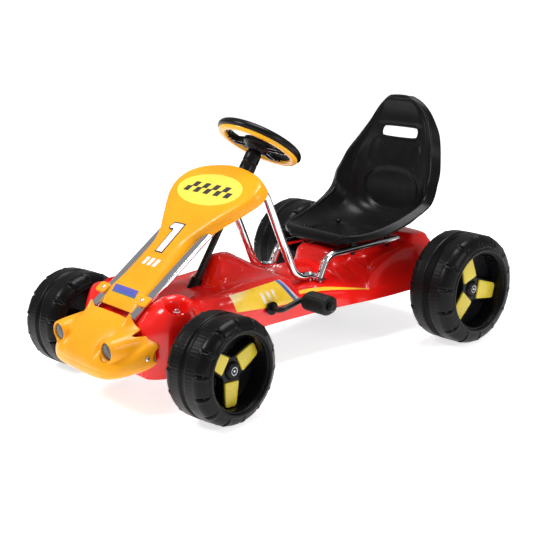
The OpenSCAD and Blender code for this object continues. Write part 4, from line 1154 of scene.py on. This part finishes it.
def seat_grid(steps=7, cols=97):
    rows = spline(SEAT, steps)
    u = np.linspace(-1, 1, cols)
    x = rows[:, 2:3] * (1.12 * u - 0.12 * u ** 3)
    e = np.abs(u) ** 3.2
    y = rows[:, 0:1] + rows[:, 4:5] * e
    z = np.minimum(rows[:, 1:2] + rows[:, 3:4] * e, 507.9)
    g = np.stack([x, y, z], -1)
    if normals(g)[60, cols // 2, 1] > 0:
        g = g[:, ::-1]
    return g, rows


def seat_relief(g, rows):
    """Pressed panels, grooves and the head pad, along the surface normal."""
    x = g[..., 0]
    s = np.concatenate([[0], np.cumsum(np.hypot(np.diff(rows[:, 0]), np.diff(rows[:, 1])))])[:,
            None] + 0 * x
    back = len(rows) // 2

    def at(z):
        return float(np.interp(z, rows[back:, 1], s[back:, 0]))

    def oval(sx, sy, mid, power=2.6, x0=0.0):
        return (np.abs((x - x0) / sx) ** power + np.abs((s - mid) / sy) ** power) ** (1 / power)

    pan_mid = float(np.interp(262, rows[:back, 0], s[:back, 0]))
    d = -3.2 * (1 - smooth(oval(84, 78, pan_mid, 3.0), 0.90, 1.02))
    low_mid = at(292)
    d = d - 3.0 * (1 - smooth(oval(86, 52, low_mid, 2.4), 0.90, 1.0))
    # Groove round the panel of the back
    mid = at(372)
    ring = oval(76, 36, mid, 5.0)
    d = d - 2.0 * np.exp(-((ring - 1.0) / 0.035) ** 2) * (np.abs(s - mid) < 60)
    # Head pad that stands out above the hand slot
    pad = at(471)
    width = np.interp(s[:, 0], s[:, 0], rows[:, 2])[:, None]
    d = d + 3.0 * (1 - smooth(np.abs(s - pad) / 31, 0.84, 1.0)) * (1
            - smooth(np.abs(x) / np.maximum(width, 1), 0.66, 0.86))
    # Side channel inside the rim
    edge = np.abs(x) / np.maximum(width, 1)
    along = smooth(s, s[40, 0], s[60, 0]) * (1 - smooth(s, at(470), at(495)))
    d = d - 1.8 * np.exp(-((edge - 0.86) / 0.03) ** 2) * along
    return g + normals(g) * d[..., None]


def rim_path(g):
    """Closed line along the edge of the seat."""
    loop = list(g[:, 0]) + list(g[-1, 1:-1]) + list(g[::-1, -1]) + list(g[0, -2:0:-1])
    return np.array(loop)


def closed_tube(path, radius, sides=12):
    """A ring of round section along a closed line."""
    p = eased(np.array(path), 3)
    t = np.roll(p, -1, 0) - np.roll(p, 1, 0)
    t /= np.linalg.norm(t, axis=1, keepdims=True)
    mid = p.mean(0)
    a = p - mid
    a -= t * (a * t).sum(1, keepdims=True)
    a /= np.linalg.norm(a, axis=1, keepdims=True)
    b = np.cross(t, a)
    ang = np.arange(sides) * 2 * math.pi / sides
    return p[:, None] + radius * (a[:, None] * np.cos(ang)[None, :, None] + b[:, None] * np.sin(ang)[None,
            :, None])


def eased(line, rounds):
    for _ in range(rounds):
        line = (np.roll(line, 1, 0) + 2 * line + np.roll(line, -1, 0)) / 4
    return line


def seat_flange(g):
    """Rolled edge of the seat with a skirt turned back behind it."""
    path = rim_path(g - normals(g) * (SEAT_T / 2))
    up = rim_path(normals(g))
    step = np.linalg.norm(np.diff(path, axis=0, append=path[:1]), axis=1)
    total = np.concatenate([[0], np.cumsum(step)])
    even = np.linspace(0, total[-1], 420, endpoint=False)

    def resample(values):
        closed = np.concatenate([values, values[:1]])
        return np.stack([np.interp(even, total, closed[:, k]) for k in range(3)], 1)

    path, up = eased(resample(path), 3), eased(resample(up), 8)
    along = np.roll(path, -1, 0) - np.roll(path, 1, 0)
    along /= np.linalg.norm(along, axis=1, keepdims=True)
    up -= along * (up * along).sum(1, keepdims=True)
    up /= np.linalg.norm(up, axis=1, keepdims=True)
    out = np.cross(along, up)
    centre_line = np.array([0, 330, 330])
    if ((path - centre_line) * out).sum() < 0:
        out = -out
    section = [(-3, 2.2), (-1.2, 3.2), (1.4, 3.4), (3.8, 2.4), (5.2, 0.4), (5.8, -2.6), (6.2, -7),
               (6.6, -12), (7.0, -17),
               (7.2, -20), (6.6, -21), (5.0, -21), (4.4, -20), (4.0, -16), (3.6, -11), (3.0, -6),
               (1.6, -3.2), (-2, -2.6)]
    depth = 0.5 + 0.5 * smooth(path[:, 1], 175, 260)
    slim = 1 - 0.6 * smooth(path[:, 2], 420, 490)
    path[:, 2] -= 3.4 * smooth(path[:, 2], 470, 505)
    rings = []
    for o, n in section:
        n = np.where(n < -3, -3 + (n + 3) * depth, n) if n < -3 else np.full(len(path), n)
        rings.append(path + (out * o + up * n[:, None]) * slim[:, None])
    ring = np.stack(rings, 1)
    ring[..., 2] = np.minimum(ring[..., 2], 508.4)
    return Shape().grid(ring, wrap_rows=True, wrap_cols=True)


def seat():
    g, rows = seat_grid()
    g = seat_relief(g, rows)
    shell = loose(sheet(g, SEAT_T), "seat_skin")
    slot_outline = rounded_box(-58, 58, -14, 16, 13)
    slot_outline = [(x * (1 - 0.03 * (y / 16)), y - 3.0 * (1 - (x / 58) ** 2)) for x, y in slot_outline]
    place = Matrix.Translation((0, 500, 424)) @ Matrix.Rotation(math.pi / 2, 4, "X")
    carve(shell, Shape().prism(slot_outline, 120, place))
    for s in (-1, 1):
        for y in (200, 310):
            carve(shell, rod_along(Matrix.Translation((s * RAIL_X, y, 190)), 3.3, 60))
    piece(shell, "seat_skin", "chassis", BLACK_SEAT, ["seat_shell"], sharp=40)
    piece(seat_flange(g), "seat_flange", "chassis", BLACK_SEAT, sharp=60)
    # Rounded lip round the hand slot, on the curved back
    back = len(rows) // 2
    lip = []
    for x, y in slot_outline:
        z = 424 + y
        f = float(np.interp(z, rows[back:, 1], rows[back:, 0]))
        w = float(np.interp(z, rows[back:, 1], rows[back:, 2]))
        lean = float(np.interp(z, rows[back:, 1], rows[back:, 4]))
        lip.append((x, f + lean * abs(x / w) ** 3.2 + SEAT_T / 2 - 0.5, z))
    piece(Shape().grid(closed_tube(lip, 3.4, 10), wrap_rows=True, wrap_cols=True), "seat_slot_lip",
          "chassis",
          BLACK_SEAT)


def rounded_box(x0, x1, y0, y1, r, n=7):
    out = []
    for cx, cy, a0 in ((x1 - r, y0 + r, -90), (x1 - r, y1 - r, 0), (x0 + r, y1 - r, 90),
                       (x0 + r, y0 + r, 180)):
        out += [(cx + r * math.cos(math.radians(a0 + 90 * k / n)),
                 cy + r * math.sin(math.radians(a0 + 90 * k / n)))
                for k in range(n + 1)]
    return out


# ---------- steering wheel ----------


def steering_wheel():
    p = column_place(WHEEL_UP)
    # Grip: flat oval top with finger waves inside
    n, m = 180, 20
    rings = []
    for k in range(n):
        a = 2 * math.pi * k / n
        wave = 0.5 * math.cos(a * 30) * (1 if math.cos(a * 2) > -0.4 else 0)
        line = [(-11 + 0.2, -5.8)]
        line += [((11 + (wave if math.cos(t) < 0 else 0)) * math.cos(t) * 0.995, 11 * math.sin(t))
                 for t in np.radians(np.linspace(180, -14, m))]
        line += [(6.5, -5.8)]
        rings.append([tuple(p @ Vector(((83 + r) * math.cos(a), (83 + r) * math.sin(a), min(z, 10.9))))
                      for r, z in line])
    piece(Shape().grid(rings, wrap_rows=True, wrap_cols=True), "wheel_grip", "steering",
          BLACK_SATIN,
          ["steering_rim"], sharp=45)
    ring = [(-10.3, -6.2), (6, -6.2), (6.2, -8.2), (5, -10.4), (2.4, -12.2), (1.6, -12.5), (-5.4, -12.5),
            (-7.6, -11.8), (-9.8, -9.6)]
    piece(Shape().turned([(83 + r, z) for r, z in ring], p, 160), "wheel_ring", "steering",
          RING_YELLOW,
          ["steering_ring"], sharp=50)
    hub = Shape()
    hub.turned(rounded([(3, -23.8), (17, -24), (20, -21), (23, -16), (30, -11.5), (33, -8.5), (33, -1.5),
                        (31, 0.8), (22, 1), (3, 1)], 2), p, 96)
    for turn in (0, 90, 180):
        q = p @ Matrix.Rotation(math.radians(turn), 4, "Z")
        outline = [(20, -22), (34, -15.5), (50, -12.2), (64, -12.2), (71.5, -15), (71.9, -16)]
        outline = outline + [(x, -y) for x, y in reversed(outline)]
        outline = [tuple(v) for v in cut(outline + [outline[0]], 2)[:-1]]
        hub.prism(outline, 8.6, q @ Matrix.Translation((0, 0, -9.6)), bevel=1.6)
        # Raised ribs and a screw boss under each spoke
        for s in (-1, 1):
            rib = [(26, s * 9 - 1.6), (66, s * 8.2 - 1.6), (66, s * 8.2 + 1.6), (26, s * 9 + 1.6)]
            hub.prism(rib, 4.0, q @ Matrix.Translation((0, 0, -12.2)))
        hub.spun([(0, -14.4), (3.6, -14.4), (5.2, -13.6), (5.8, -9), (0, -9)],
                 q @ Matrix.Translation((56, 0, 0)), 24)
    piece(hub, "wheel_hub", "steering", BLACK_SATIN, ["steering_hub"], sharp=30)
    cap_line = [(0, 1.2), (22.4, 1.2), (22.6, 2.4), (21.8, 4.0), (18, 6.0), (16.6, 6.2), (16.0, 5.6),
                (15.2, 5.7), (8, 8.0), (0, 8.7)]
    piece(Shape().spun(cap_line, p, 72), "wheel_cap", "steering", BLACK_RIM,
          ["steering_cap"], sharp=35)
    sleeve = [(7.05, 0.5), (14.5, 0.5), (16.6, 2), (17, 5), (17, 30), (16.3, 31.2), (16.3, 34.0),
              (17, 35.2), (17, 50),
              (16.2, 55), (14.8, 57.4), (7.05, 57.4)]
    piece(Shape().turned(sleeve, column_place(BRACKET_UP + 13), 64), "column_cover", "steering",
          BLACK_SATIN, ["column_sleeve"], sharp=35)


# ---------- pedals ----------


def pedals():
    for s, word in ((1, "left"), (-1, "right")):
        joint_at = Vector(joint(f"{word}_pedal_spin")["pos_m"]) / MM
        tilt = math.radians(10)
        mid = Vector((0, joint_at.y, joint_at.z))
        x0, x1 = 153.9, 217.2
        # Eight-sided section with soft corners, 46 by 38
        corners = [(23, -8), (23, 8), (12, 19), (-12, 19), (-23, 8), (-23, -8), (-12, -19), (12, -19)]
        soft = cut(corners + corners[:2], 2)[2:-3]
        closed = np.array(subdivided([tuple(c) for c in soft], 3))
        rows = []
        for x in np.linspace(x0, x1, 72):
            t = min(x - x0, x1 - x)
            inset = 3.0 * (1 - math.sqrt(max(0, 1 - (1 - min(t / 3.0, 1)) ** 2)))
            row = []
            for k, q in enumerate(closed):
                r = np.hypot(*q)
                knurl = math.sin(x * 0.95 + k * 0.75) * math.sin(x * 0.95 - k * 0.75) * (1 if t > 4
                        else 0)
                f = 1 - (inset + 1.05 - knurl) / r
                a, b = q[0] * f, q[1] * f
                ya, za = a * math.cos(tilt) - b * math.sin(tilt), a * math.sin(tilt) + b * math.cos(tilt)
                row.append((s * x, mid.y + ya, mid.z + za))
            rows.append(row)
        block = loose(Shape().grid(rows, wrap_cols=True, caps=True), f"{word}_pedal_tread")
        bore = x_place(150 if s > 0 else -230, joint_at.y, joint_at.z)
        carve(block, rod_along(bore, 6.06, 80, 48))
        piece(block, f"{word}_pedal_tread", f"{word}_pedal", PEDAL_BLACK,
              [f"pedal_{word}"], sharp=35)


# ---------- graphics on the flanks ----------


def flank_graphics():
    for side, word in ((1, "left"), (-1, "right")):
        # The yellow panel carries a painted highlight, whitish towards its upper front corner.
        flank_film(side, ([(-167, 181), (-110, 183), (-44, 185)], [(-158, 147), (-80, 139), (-3, 132)]),
                   f"{word}_panel_yellow", PANEL_PAINTED_HIGHLIGHT)
        flank_film(side, ([(-44, 185), (-36, 185)], [(-3, 132), (6, 132)]), f"{word}_panel_blue",
                   INK_BLUE, 10)
        flank_film(side, ([(-35.5, 185), (-31, 185)], [(6.5, 132), (12, 132)]), f"{word}_panel_pale",
                   INK_PALE, 10)
        flank_film(side, ([(13, 151), (90, 143), (150, 131), (200, 119.5)], [(14, 145.5), (90, 137.5),
                (150, 127.5), (201, 118.6)]),
                   f"{word}_stripe_yellow", PANEL_YELLOW, 60, 4)
        for k in range(3):
            y = -96 + 15 * k
            flank_film(side, ([(y, 172), (y + 8, 172)], [(y + 9, 149), (y + 17, 149)]),
                       f"{word}_panel_bar_{k}", INK_WHITE, 6, 8)


# ---------- making the pieces ----------

wheels()
body_shell()
flank_graphics()
nose()
eye_rims()
kingpin_nuts()
lenses()
cowl()
cowl_graphics()
seat()
steering_wheel()
pedals()

# ---------- carried-over parts ----------

CARRIED = {
    CHROME: ("frame_tube_left", "frame_tube_right", "seat_rail_left", "seat_rail_right"),
    ZINC: ("nose_screws", "frame_screws", "kingpins", "front_nut_left", "front_nut_right",
           "rear_axle", "rear_axle_fittings", "tie_rod", "knuckle_left", "knuckle_right"),
    STEEL: ("chain", "crank_sprocket", "rear_sprocket", "column_bracket", "front_beam", "kingpin_strap"),
    WHITE_NYLON: ("column_upper_bush",),
    BLACK_PAINT: ("steering_column", "crank_shaft"),
    BLACK_SATIN: ("column_collar", "seat_spacers", "pedal_caps", "seat_bolts", "underbody_pan",
                  "crank_bushes", "rear_axle_bushes"),
}
for material, names in CARRIED.items():
    for name in names:
        for slot in frame["nodes"][name].material_slots:
            slot.material = material


# ---------- camera, light and floor ----------


SKY = 0.32    # how brightly the white surroundings shine
FLOOR = 60.0    # half size of the floor, in metres
CAMERA_PLACE = (1.67256, -1.41914, 0.80164)
# The camera's right, up and back
CAMERA_TURN = ((0.66347581, 0.74751734, -0.03190098), (-0.18708883, 0.20703563, 0.9602781),
               (0.72442917, -0.63115297, 0.27721527))


def studio():
    cam = bpy.data.cameras.new("camera")
    cam.sensor_width, cam.lens = 36.0, 69.58
    cam.clip_start, cam.clip_end = 0.05, 200
    obj = bpy.data.objects.new("camera", cam)
    bpy.context.scene.collection.objects.link(obj)
    obj.matrix_world = Matrix.Translation(CAMERA_PLACE) @ Matrix(CAMERA_TURN).transposed().to_4x4()
    bpy.context.scene.camera = obj

    world = bpy.data.worlds.new("studio")
    bpy.context.scene.world = world
    world.use_nodes = True
    sky = world.node_tree.nodes["Background"]
    sky.inputs["Color"].default_value = (1, 1, 1, 1)
    sky.inputs["Strength"].default_value = SKY

    def area(name, location, target, size, power, colour=(1, 1, 1)):
        light = bpy.data.lights.new(name, "AREA")
        light.shape, light.size, light.size_y = "RECTANGLE", size[0], size[1]
        light.energy, light.color = power, colour
        lamp = bpy.data.objects.new(name, light)
        lamp.location = location
        lamp.rotation_euler = (Vector(target) - Vector(location)).to_track_quat("-Z", "Y").to_euler()
        bpy.context.scene.collection.objects.link(lamp)

    area("key", (-0.9, -2.0, 2.4), (0, 0, 0.2), (0.9, 0.9), 58)
    area("side", (2.6, 0.7, 1.3), (0, 0.1, 0.2), (1.0, 0.6), 20)
    area("top", (0.1, 0.5, 2.4), (0, 0.1, 0), (1.1, 1.1), 44)

    # Floor: plain pale, a little glossy near the tyres
    n = Nodes("floor")
    n.shader.inputs["Base Color"].default_value = (0.93, 0.93, 0.94, 1)
    n.shader.inputs["Emission Color"].default_value = (1, 1, 1, 1)
    n.shader.inputs["Emission Strength"].default_value = 1.0 - 0.9 * SKY
    n.link(n.spread(n.noise(3.0, 2.0), 0.3, 0.7, 0.30, 0.36), n.shader.inputs["Roughness"])
    mesh = bpy.data.meshes.new("floor")
    corners = [(x * FLOOR, y * FLOOR, 0) for x, y in ((-1, -1), (1, -1), (1, 1), (-1, 1))]
    mesh.from_pydata(corners, [], [(0, 1, 2, 3)])
    floor = bpy.data.objects.new("floor", mesh)
    mesh.materials.append(n.mat)
    bpy.context.scene.collection.objects.link(floor)


bpy.context.scene.view_settings.view_transform = "Standard"
studio()
